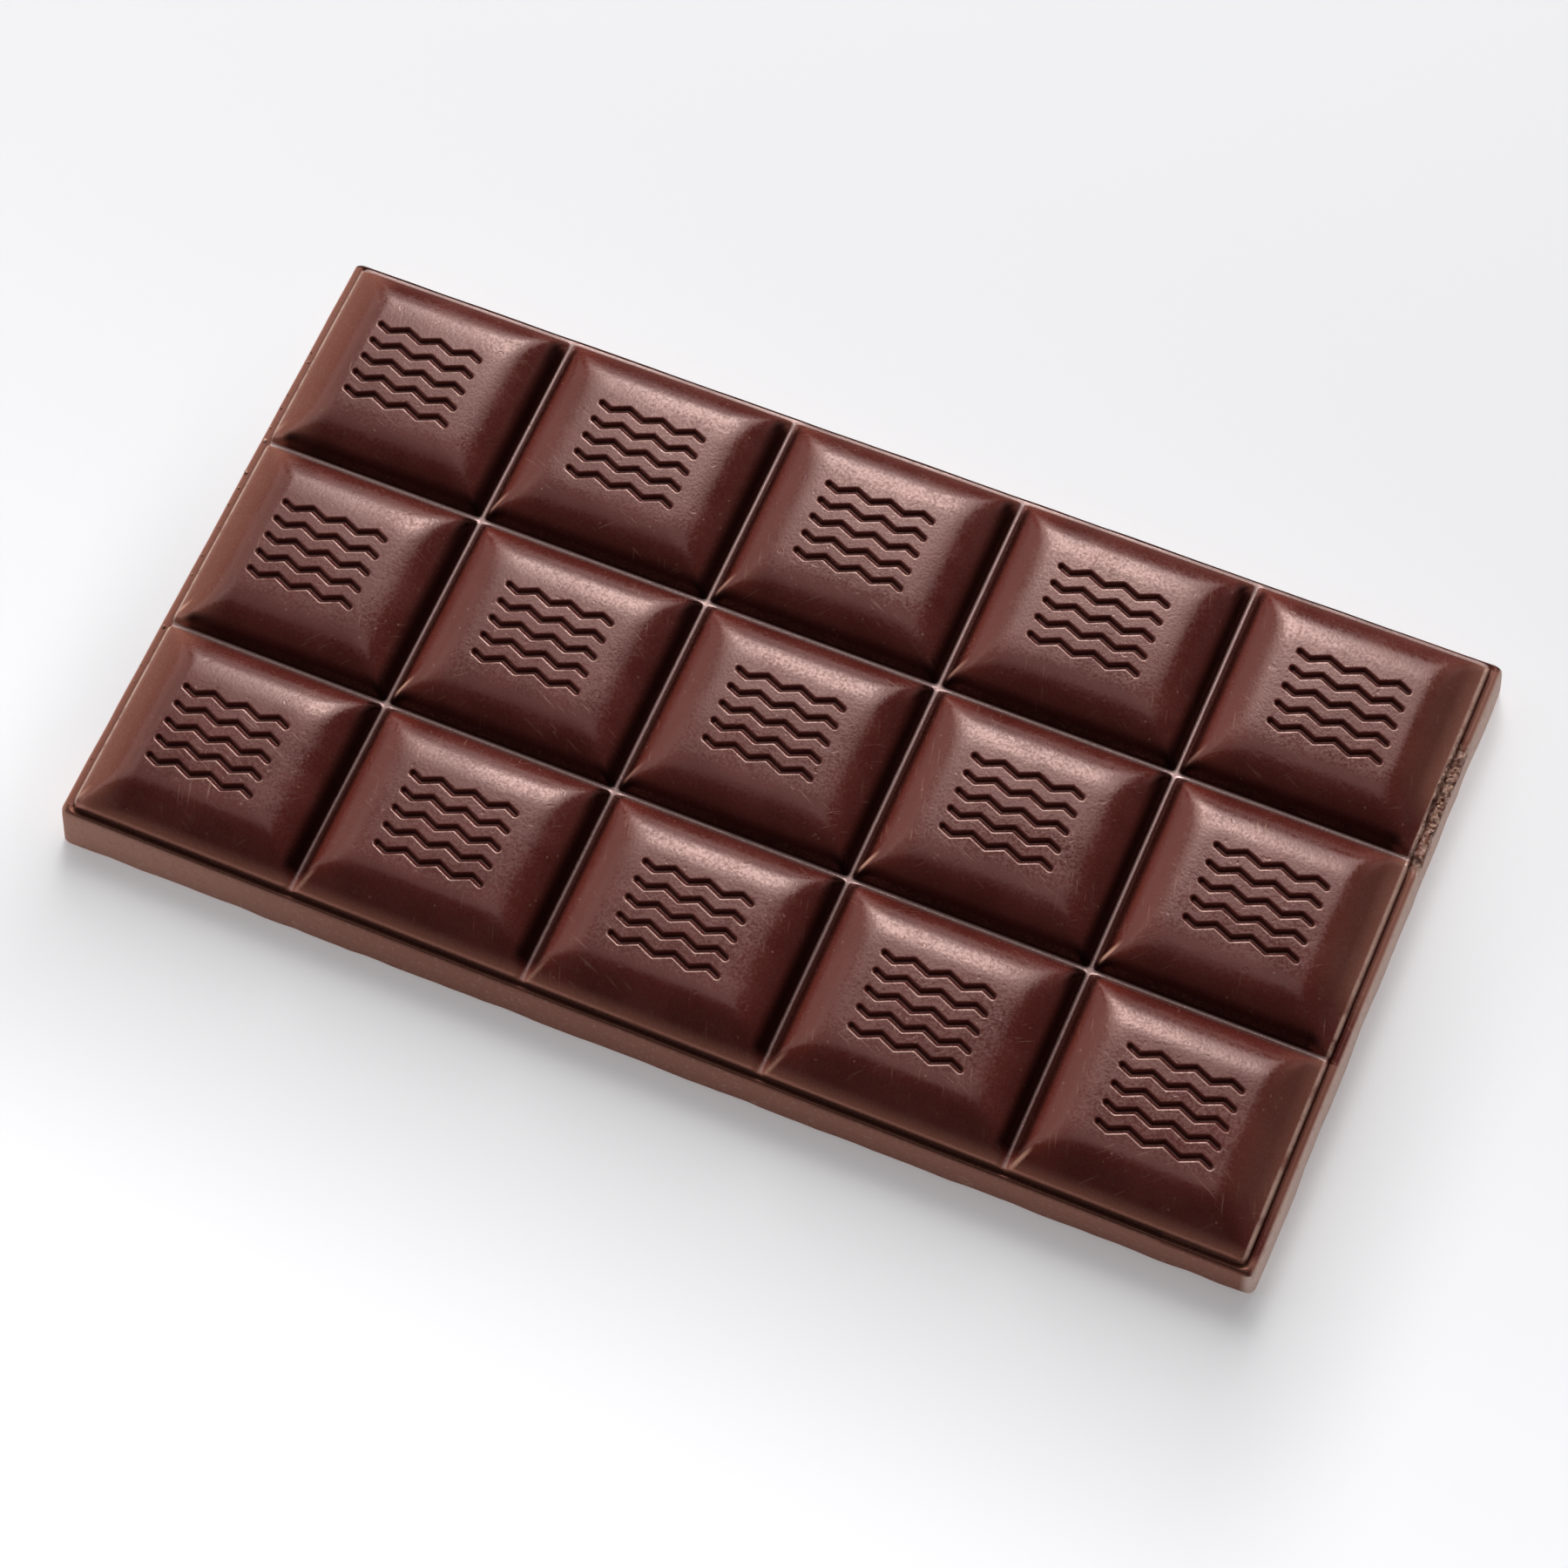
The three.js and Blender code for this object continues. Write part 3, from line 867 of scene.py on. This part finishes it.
@dataclass
class Squares:
    """The domed squares and the score lines between them."""

    columns: int = 5
    rows: int = 3
    length: float = 28.0 * MM
    width: float = 24.8 * MM
    score_level: float = 6.0 * MM
    score_half: float = 0.33 * MM
    flank: float = 6.2 * MM
    rise: float = 3.1 * MM
    curve: float = 2.5
    foot_rise: float = 0.7 * MM
    foot_run: float = 0.3 * MM
    crown: float = 0.45 * MM
    foot_fillet: float = 0.06 * MM
    ridge_blend: float = 0.30 * MM
    ridge_spread: float = 0.42
    lip_level: float = 6.4 * MM
    lip_half_length: float = 68.8 * MM
    near_lip: float = 36.4 * MM
    far_lip: float = 37.40 * MM
    far_strip: float = 0.40 * MM
    rim_flat: float = 0.10 * MM
    rim_curve: float = 1.4
    left_run: float = 6.0 * MM
    right_run: float = 5.0 * MM
    near_run: float = 5.1 * MM
    plateau_end: float = 7.55 * MM
    plateau_side: float = 6.0 * MM
    side_share: float = 0.45
    line_clearance: float = 0.45 * MM
    waves: Waves = field(default_factory=Waves)

    PROFILE_SAMPLES = 4000

    # Lines of the mesh, in millimetres in from the foot of a flank or from the lip.
    FLANK_STATIONS = (5.3, 4.5, 3.75, 3.05, 2.35, 1.75, 1.2, 0.7, 0.32, 0.08, -0.10)
    RIM_STATIONS = (1.7, 1.15, 0.7, 0.35, 0.12, 0.0)
    FAR_STATIONS = (1.75, 1.25, 0.9, 0.65, 0.5, 0.4, 0.3, 0.0)

    def centres(self, count: int, pitch: float) -> Array:
        """Middles of the squares along one axis."""
        return (np.arange(count) - (count - 1) / 2) * pitch

    def near_centre(self, place: Array, count: int, pitch: float) -> Array:
        """Middle of the square that each place belongs to."""
        limit = (count - 1) / 2
        return np.clip(np.round(place / pitch - limit) + limit, -limit, limit) * pitch

    def flank_height(self, inward: Array) -> Array:
        """Work out the rise of a flank, with a small fillet at its foot.

        Args:
            inward: Distances in from the foot.

        Returns:
            The heights above the score lines.
        """
        soft = 0.5 * (inward + np.sqrt(inward * inward + self.foot_fillet ** 2))
        share = np.clip(soft / self.flank, 0.0, 1.0)
        foot = self.foot_rise * (1.0 - np.exp(-np.maximum(soft, 0.0) / self.foot_run))
        return self.rise * (1.0 - (1.0 - share) ** self.curve) + foot

    def inward(self, place: Array, count: int, pitch: float, high: Array, low: Array) -> Array:
        """Measure in from the feet of the flanks along one axis.

        Args:
            place: Places along the axis.
            count: Squares along it.
            pitch: Spacing of the squares.
            high: Distances in from the outermost foot on the positive side.
            low: Those on the negative side.

        Returns:
            The distances.
        """
        outer = np.abs(place) > (count - 1) / 2 * pitch
        inner = pitch / 2 - self.score_half - np.abs(place - self.near_centre(place, count, pitch))
        return np.where(outer, np.where(place > 0, high, low), inner)

    def rim_inward(self, from_lip: Array, rim_run: float) -> Array:
        """Distance in from a foot where an inner flank is as high as an outermost one.

        An outermost flank steepens within a short way of the lip and runs out level on the crown.

        Args:
            from_lip: Distances in from the lip.
            rim_run: How far in the flank reaches the crown.

        Returns:
            The distances, as the flank's profile reads them.
        """
        run = np.linspace(0.0, self.flank, self.PROFILE_SAMPLES)
        heights = self.flank_height(run)
        lowest = self.lip_level - self.score_level
        share = np.clip((from_lip - self.rim_flat) / (rim_run - self.rim_flat), 0.0, 1.0)
        power = self.rim_curve
        risen = (power + 1.0) * share ** power - power * share ** (power + 1.0)
        wanted = lowest + (heights[-1] - lowest) * risen
        return np.interp(wanted, heights, run) + np.maximum(from_lip - rim_run, 0.0)

    def height(self, x: Array, y: Array) -> Array:
        """Height of the moulded face above the underside, without the engraving.

        Args:
            x: Places along the bar.
            y: Places across the bar.

        Returns:
            The heights.
        """
        right = self.rim_inward(self.lip_half_length - x, self.right_run)
        left = self.rim_inward(self.lip_half_length + x, self.left_run)
        near = self.rim_inward(self.near_lip + y, self.near_run)
        in_x = self.inward(x, self.columns, self.length, right, left)
        in_y = self.inward(y, self.rows, self.width, self.far_lip - self.far_strip - y, near)
        blend = self.ridge_blend + self.ridge_spread * np.clip(np.minimum(in_x, in_y), 0.0, self.flank)
        top = self.flank_height(smooth_min(in_x, in_y, blend))
        u = (x - self.near_centre(x, self.columns, self.length)) / (self.length / 2)
        v = (y - self.near_centre(y, self.rows, self.width)) / (self.width / 2)
        return self.score_level + top + self.crown * (1 - u * u) * (1 - v * v)

    def axis_lines(self, count: int, pitch: float, low: list[float], high: list[float],
                   middle: list[tuple[float, float]]) -> list[MeshLine]:
        """Lay out the lines of the mesh along one axis.

        Args:
            count: Squares along the axis.
            pitch: Spacing of the squares.
            low: Places of the lines beside the lip on the negative side, from the lip inwards.
            high: Places of those on the positive side, from the inside to the lip.
            middle: Lines inside a plateau: offset from its middle, and share of the zigzag.

        Returns:
            For each line its square's middle, its offset from it and its share of the zigzag.
        """
        foot = pitch / 2 - self.score_half
        side = [foot - step * MM for step in self.FLANK_STATIONS]
        offsets = [(-place, 0.0) for place in reversed(side)] + middle + [(place, 0.0) for place in side]
        lines = []
        for k, centre in enumerate(self.centres(count, pitch)):
            lines += [(centre, offset, share) for offset, share in offsets]
            if k + 1 < count:
                lines.append((centre, pitch / 2, 0.0))
        clear = self.line_clearance
        lines = [line for line in lines if low[-1] + clear < line[0] + line[1] < high[0] - clear]
        outer = (count - 1) / 2 * pitch
        lines += [(outer, place - outer, 0.0) for place in high]
        return [(-outer, place + outer, 0.0) for place in low] + lines

    def column_lines(self) -> list[MeshLine]:
        """Lay out the lines of the mesh along the bar.

        Returns:
            The lines, as axis_lines gives them.
        """
        half = self.waves.columns() + [self.plateau_end]
        middle = [(-place, 1.0) for place in half[:0:-1]] + [(place, 1.0) for place in half]
        high = [self.lip_half_length - step * MM for step in self.RIM_STATIONS]
        low = [-place for place in reversed(high)]
        return self.axis_lines(self.columns, self.length, low, high, middle)

    def row_lines(self) -> list[MeshLine]:
        """Lay out the lines of the mesh across the bar, those of the engraving sharing its zigzag.

        Returns:
            The lines, as axis_lines gives them.
        """
        stations = self.waves.stations()
        middles = self.waves.middles()
        middle = []
        for k, centre in enumerate(middles):
            middle += [(centre + station, 1.0) for station in stations]
            if k + 1 < len(middles):
                middle.append((centre + self.waves.pitch / 2, 1.0))
        middle = [(-self.plateau_side, self.side_share)] + middle + [(self.plateau_side, self.side_share)]
        low = [step * MM - self.near_lip for step in reversed(self.RIM_STATIONS)]
        high = [self.far_lip - step * MM for step in self.FAR_STATIONS]
        return self.axis_lines(self.rows, self.width, low, high, middle)

    def beyond_lip(self, x: Array, y: Array) -> tuple[Array, Array]:
        """How far places are outside the lip, along the bar and across it."""
        return np.abs(x) - self.lip_half_length, np.where(y > 0, y - self.far_lip, -y - self.near_lip)


class Base(Enum):
    """What the level of a ring of the rim is counted from."""

    RING_ABOVE = "the ring above it"
    LEDGE = "the ledge"
    UNDERSIDE = "the underside"


@dataclass
class ChocolateBar:
    """The whole bar: the moulded face, the rim, the ledge, the walls and the underside."""

    squares: Squares = field(default_factory=Squares)
    crumbled: Crumbled = field(default_factory=Crumbled)
    ledge_level: float = 5.5 * MM
    lip_corner: float = 1.0 * MM
    lip_rounding: float = 0.20 * MM
    foot_flare: float = 1.2 * MM
    far_squeeze: float = 0.50
    wobble: float = 0.16 * MM
    wobble_size: float = 7.0 * MM
    wobble_on_top: float = 0.25
    wobble_rise: float = 0.35
    unevenness: float = 0.03 * MM
    swell_size: float = 11.0 * MM
    zigzag_end: float = 6.9 * MM
    straight_start: float = 8.2 * MM
    at_lip: float = -0.02 * MM
    flare_end: float = 1.5 * MM
    face_margin: float = 0.2 * MM
    ledge_margin: float = 0.1 * MM

    # Each ring from the lip to the underside: millimetres out along X and Y, and its level.
    RINGS = (
        (0.14, 0.12, -0.03, Base.RING_ABOVE), (0.11, 0.11, -0.08, Base.RING_ABOVE),
        (0.06, 0.06, -0.14, Base.RING_ABOVE), (0.05, 0.05, 0.04, Base.LEDGE), (0.06, 0.05, -0.14, Base.LEDGE),
        (0.14, 0.08, -0.15, Base.LEDGE), (0.20, 0.12, -0.03, Base.LEDGE), (0.25, 0.13, 0.0, Base.LEDGE),
        (0.26, 0.16, -0.05, Base.LEDGE), (0.20, 0.16, -0.17, Base.LEDGE), (0.10, 0.09, -0.40, Base.LEDGE),
        (0.06, 0.06, -1.2, Base.LEDGE), (0.06, 0.07, -3.0, Base.LEDGE), (0.06, 0.07, 0.36, Base.UNDERSIDE),
        (-0.08, -0.08, 0.10, Base.UNDERSIDE), (-0.24, -0.24, 0.0, Base.UNDERSIDE),
    )

    def build(self) -> Object:
        """Model the bar.

        Returns:
            The bar's object, at the origin, with its place in its mesh.
        """
        bar = self._moulded_face()
        self._pull_down_rim(bar)
        self._age(bar)
        bpy.ops.object.shade_smooth()
        return bar

    def _moulded_face(self) -> Object:
        """Add a grid and shape it to the squares, the score lines and the engraving.

        Returns:
            The grid's object, whose border is the lip.
        """
        squares = self.squares
        columns = np.array(squares.column_lines())
        rows = np.array(squares.row_lines())
        bpy.ops.object.select_all(action="DESELECT")
        bpy.ops.mesh.primitive_grid_add(x_subdivisions=len(columns) - 1,
                                        y_subdivisions=len(rows) - 1, size=2.0)
        bar = bpy.context.active_object
        bar.name = "moulded_chocolate_bar"
        flat = self._places(bar)
        across = np.rint((flat[:, 0] + 1) / 2 * (len(columns) - 1)).astype(int)
        up = np.rint((flat[:, 1] + 1) / 2 * (len(rows) - 1)).astype(int)

        local_x = columns[across, 1]
        fade = 1.0 - smooth_step(np.abs(local_x), self.zigzag_end, self.straight_start)
        bend = squares.waves.rise_at(local_x) * fade * columns[across, 2] * rows[up, 2]
        local_y = rows[up, 1] + bend
        x = columns[across, 0] + local_x
        y = rows[up, 0] + local_y
        z = squares.height(x, y)
        distance = squares.waves.distance(local_x, local_y)
        z = z - squares.waves.depth_at(distance)
        x, y = self._round_corners(x, y)
        self._place(bar, np.stack([x, y, z], 1))
        side = np.where(squares.waves.is_below(local_x, local_y), 1.0, -1.0)
        for name, values in ((GROOVE, np.minimum(distance, MM)), (GROOVE_SIDE, side)):
            attribute = bar.data.attributes.new(name, "FLOAT", "POINT")
            attribute.data.foreach_set("value", values.astype(np.float32))
        return bar

    def _round_corners(self, x: Array, y: Array) -> tuple[Array, Array]:
        """Pull the four corners of the lip in to their radius, in plan.

        Args:
            x: Places along the bar.
            y: Places across the bar.

        Returns:
            The new places along and across the bar.
        """
        radius = self.lip_corner
        out_x, out_y = self.squares.beyond_lip(x, y)
        u = np.clip(out_x / radius + 1.0, 0.0, 1.0)
        v = np.clip(out_y / radius + 1.0, 0.0, 1.0)
        near = (u > 0) & (v > 0)
        round_u = u * np.sqrt(1 - v * v / 2)
        round_v = v * np.sqrt(1 - u * u / 2)
        x = np.where(near, x - np.sign(x) * (u - round_u) * radius, x)
        y = np.where(near, y - np.sign(y) * (v - round_v) * radius, y)
        return x, y

    def _pull_down_rim(self, bar: Object) -> None:
        """Extrude the border ring by ring into the lip, the ledge, the walls and the underside.

        Args:
            bar: The moulded face's object.
        """
        half_x, half_y = self.squares.lip_half_length, self.squares.near_lip
        bpy.ops.object.mode_set(mode="EDIT")
        bpy.ops.mesh.select_mode(type="EDGE")
        bpy.ops.mesh.select_all(action="DESELECT")
        bpy.ops.mesh.select_non_manifold(extend=False, use_wire=False, use_multi_face=False,
                                         use_non_contiguous=False, use_verts=False)
        for out_x, out_y, level, base in self.RINGS:
            wider_x, wider_y = half_x + out_x * MM, half_y + out_y * MM
            drop = level * MM if base is Base.RING_ABOVE else 0.0
            bpy.ops.mesh.extrude_edges_move(TRANSFORM_OT_translate={"value": (0.0, 0.0, drop)})
            bpy.ops.transform.resize(value=(wider_x / half_x, wider_y / half_y, 1.0),
                                     center_override=(0.0, 0.0, 0.0))
            half_x, half_y = wider_x, wider_y
            if base is not Base.RING_ABOVE:
                height = level * MM + (self.ledge_level if base is Base.LEDGE else 0.0)
                bpy.ops.transform.resize(value=(1.0, 1.0, 0.0), center_override=(0.0, 0.0, height))
        bpy.ops.mesh.edge_face_add()
        bpy.ops.mesh.select_all(action="SELECT")
        bpy.ops.mesh.normals_make_consistent(inside=False)
        bpy.ops.mesh.select_all(action="DESELECT")
        bpy.ops.object.mode_set(mode="OBJECT")

    def _age(self, bar: Object) -> None:
        """Make the moulded shape slightly uneven, flare the feet and crumble the ledge.

        Args:
            bar: The bar's object.
        """
        place = self._places(bar)
        squares = self.squares
        x, y, z = place.T.copy()
        y = np.where(y > squares.far_lip, squares.far_lip + self.far_squeeze * (y - squares.far_lip), y)
        low = np.clip(1.0 - z / self.ledge_level, 0.0, 1.0)
        out_x, out_y = squares.beyond_lip(x, y)

        half = squares.lip_half_length + self.flare_end
        flare = self.foot_flare * low * np.clip((half - x) / (2 * half), 0.0, 1.0)
        y = y + np.where(out_y > self.at_lip, np.sign(y) * flare, 0.0)

        swell = fractal_noise(place, self.swell_size, seed=3.1)
        z = z + np.where(z > squares.score_level - self.face_margin, swell * self.unevenness, 0.0)

        rim = np.flatnonzero(np.maximum(out_x, out_y) > self.at_lip)
        spot = np.stack([x[rim], y[rim], self.wobble_rise * z[rim]], 1)
        sway = fractal_noise(spot, self.wobble_size, seed=8.7)
        amount = self.wobble * (self.wobble_on_top + (1.0 - self.wobble_on_top) * low[rim])
        x[rim] += np.where(out_x[rim] > 0, np.sign(x[rim]) * sway * amount, 0.0)
        y[rim] += np.where(out_y[rim] > 0, np.sign(y[rim]) * sway * amount, 0.0)

        self.crumbled.crumble(x, y, z, self.ledge_level)
        self._place(bar, np.stack([x, y, np.maximum(z, 0.0)], 1))

    def dull_the_walls(self, bar: Object) -> None:
        """Give the faces outside the rounded lip the second finish.

        Args:
            bar: The bar's object, with both finishes in its slots.
        """
        squares = self.squares
        faces = bar.data.polygons
        middles = np.empty(len(faces) * 3, np.float32)
        faces.foreach_get("center", middles)
        x, y, z = middles.reshape(-1, 3).T
        out_x, out_y = squares.beyond_lip(x, y)
        outside = (np.maximum(out_x, out_y) > self.lip_rounding) | (z < self.ledge_level + self.ledge_margin)
        faces.foreach_set("material_index", outside.astype(np.int32))
        bar.data.update()

    @staticmethod
    def _places(bar: Object) -> Array:
        """Read the places of all vertices.

        Args:
            bar: The bar's object.

        Returns:
            The places, one row each.
        """
        flat = np.empty(len(bar.data.vertices) * 3, np.float32)
        bar.data.vertices.foreach_get("co", flat)
        return flat.reshape(-1, 3).astype(float)

    @staticmethod
    def _place(bar: Object, places: Array) -> None:
        """Set the places of all vertices, one row each."""
        bar.data.vertices.foreach_set("co", places.astype(np.float32).ravel())
        bar.data.update()


@dataclass
class LedgeCrumbs:
    """Loose grains of chocolate on the crumbled stretch of ledge, and a few on the -X ledge."""

    crumbled: Crumbled
    ledge_level: float
    seed: int = 11
    on_stretch: int = 46
    on_left: int = 16
    smallest: float = 0.09 * MM
    largest: float = 0.24 * MM
    sunk: float = 0.10 * MM
    finish: CrumbFinish = field(default_factory=CrumbFinish)

    # In millimetres: how far out the grains lie on each side, and where along the -X ledge.
    OUT_ON_STRETCH = (0.50, 1.40)
    OUT_ON_LEFT = (0.90, 1.25)
    ALONG_LEFT = (-32.0, 34.0)

    def build(self, effects: Effects) -> Object:
        """Scatter the grains and join them.

        Args:
            effects: The shared node groups.

        Returns:
            One object with all the grains.
        """
        chance = random.Random(self.seed)
        grains = []
        for _ in range(self.on_stretch):
            along = chance.triangular(self.crumbled.start, self.crumbled.end)
            across = self.crumbled.inner + chance.uniform(*self.OUT_ON_STRETCH) * MM
            grains.append(self._grain(chance, across, along, -self.sunk))
        for _ in range(self.on_left):
            across = -self.crumbled.inner - chance.uniform(*self.OUT_ON_LEFT) * MM
            grains.append(self._grain(chance, across, chance.uniform(*self.ALONG_LEFT) * MM, 0.0))
        bpy.ops.object.select_all(action="DESELECT")
        for grain in grains:
            grain.select_set(True)
        bpy.context.view_layer.objects.active = grains[0]
        bpy.ops.object.join()
        crumbs = bpy.context.active_object
        crumbs.name = "ledge_crumbs"
        bpy.ops.object.transform_apply(location=True, rotation=True, scale=True)
        crumbs.data.materials.append(self.finish.material(effects))
        return crumbs

    def _grain(self, chance: random.Random, x: float, y: float, sunk: float) -> Object:
        """Add one grain, a small ball pushed out of shape.

        Args:
            chance: The source of random numbers.
            x: Place along the bar.
            y: Place across the bar.
            sunk: Height of the surface under it, above the ledge.

        Returns:
            The grain's object.
        """
        size = self.smallest + (self.largest - self.smallest) * chance.random() ** 2
        bpy.ops.object.select_all(action="DESELECT")
        bpy.ops.mesh.primitive_ico_sphere_add(subdivisions=2, radius=size,
                                              location=(x, y, self.ledge_level + sunk + 0.5 * size))
        grain = bpy.context.active_object
        grain.scale = (chance.uniform(0.8, 1.3), chance.uniform(0.8, 1.3), chance.uniform(0.6, 0.9))
        grain.rotation_euler = (0.0, 0.0, chance.uniform(0.0, math.pi))
        for vertex in grain.data.vertices:
            vertex.co *= chance.uniform(0.72, 1.12)
        return grain


# ---- The studio -----------------------------------------------------------------------------


@dataclass
class Ground:
    """The plain pale surface that the bar lies on."""

    half: float = 3.0
    gap: float = 0.02 * MM
    finish: GroundFinish = field(default_factory=GroundFinish)

    def build(self) -> Object:
        """Returns:
            The ground's object.
        """
        bpy.ops.object.select_all(action="DESELECT")
        bpy.ops.mesh.primitive_plane_add(size=2 * self.half, location=(0.0, 0.0, -self.gap))
        ground = bpy.context.active_object
        ground.name = "ground"
        bpy.ops.object.transform_apply(location=True)
        ground.data.materials.append(self.finish.material())
        ground.visible_glossy = False
        return ground


@dataclass
class Softbox:
    """A rectangular area light that faces the bar.

    Its bearing is counted from straight behind the bar towards its -X side, in degrees.
    """

    name: str
    bearing: float
    elevation: float
    power: float
    width: float = 0.5
    height: float = 0.5
    distance: float = 1.2

    def build(self) -> Object:
        """Hang the light.

        Returns:
            The light's object.
        """
        light = bpy.data.lights.new(self.name, "AREA")
        light.shape = "RECTANGLE"
        light.size = self.width
        light.size_y = self.height
        light.energy = self.power
        lamp = bpy.data.objects.new(self.name, light)
        bearing, elevation = math.radians(self.bearing), math.radians(self.elevation)
        level = self.distance * math.cos(elevation)
        lamp.location = (-level * math.sin(bearing), level * math.cos(bearing),
                         self.distance * math.sin(elevation))
        lamp.rotation_euler = (-lamp.location).to_track_quat("-Z", "Y").to_euler()
        bpy.context.scene.collection.objects.link(lamp)
        return lamp


@dataclass
class Studio:
    """The camera, the lights and the surrounding air."""

    camera_place: tuple[float, float, float] = (105.65 * MM, -170.0 * MM, 430.96 * MM)
    camera_target: tuple[float, float, float] = (3.40 * MM, -5.41 * MM, 8.0 * MM)
    camera_roll: float = -8.952
    lens: float = 98.188
    sensor: float = 36.0
    clip_start: float = 0.01
    air: Colour = (1.0, 1.0, 1.02, 1.0)
    air_strength: float = 0.034

    def build(self) -> None:
        """Set up the camera, the lights and the air."""
        scene = bpy.context.scene
        scene.view_settings.view_transform = "Standard"
        camera = bpy.data.cameras.new("camera")
        camera.lens = self.lens
        camera.sensor_width = self.sensor
        camera.clip_start = self.clip_start
        stand = bpy.data.objects.new("camera", camera)
        aim = Vector(self.camera_target) - Vector(self.camera_place)
        turn = aim.to_track_quat("-Z", "Y").to_matrix().to_4x4()
        roll = Matrix.Rotation(math.radians(self.camera_roll), 4, "Z")
        stand.matrix_world = Matrix.Translation(self.camera_place) @ turn @ roll
        scene.collection.objects.link(stand)
        scene.camera = stand
        self._air(scene)
        for lamp in self._lamps():
            lamp.build()

    def _air(self, scene: bpy.types.Scene) -> None:
        """Fill the room with even light.

        Args:
            scene: The scene to light.
        """
        world = bpy.data.worlds.new("air")
        world.use_nodes = True
        sheet = ShaderSheet(world.node_tree)
        light = sheet.add("Background", {"Color": self.air, "Strength": self.air_strength})
        sheet.add("OutputWorld", {"Surface": light.outputs["Background"]})
        scene.world = world

    def _lamps(self) -> list[Softbox]:
        """List the soft lights."""
        return [
            Softbox("back_panel", 13.0, 42.0, 5.3, 1.0, 0.95),
            Softbox("back_core", 16.0, 42.0, 4.2, 0.34, 0.62),
            Softbox("high_panel", 6.0, 58.0, 1.0, 0.75, 0.45),
            Softbox("low_back_panel", 20.0, 18.0, 0.6),
            Softbox("left_panel", 78.0, 30.0, 2.18, 1.3, 1.0),
            Softbox("left_top_panel", 90.0, 60.0, 0.9, 0.9, 0.9),
            Softbox("top_panel", 0.0, 88.0, 0.45),
            Softbox("right_back_panel", -45.0, 18.0, 0.2),
        ]


def main() -> None:
    """Load the frame, build the bar and its studio, and report each piece."""
    logging.basicConfig(level=logging.INFO, format="%(name)s: %(message)s")
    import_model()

    Studio().build()
    Ground().build()

    effects = Effects()
    form = ChocolateBar()
    bar = form.build()
    for finish in (ChocolateFinish(), ChocolateFinish.of_the_walls()):
        bar.data.materials.append(finish.material(effects, form))
    form.dull_the_walls(bar)
    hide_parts(CAD_NODE)
    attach(bar, BODY)
    crumbs = LedgeCrumbs(form.crumbled, form.ledge_level).build(effects)
    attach(crumbs, BODY)
    for piece in (bar, crumbs):
        piece.data.calc_loop_triangles()
        LOG.info("%s: %d triangles", piece.name, len(piece.data.loop_triangles))


if __name__ == "__main__":
    main()
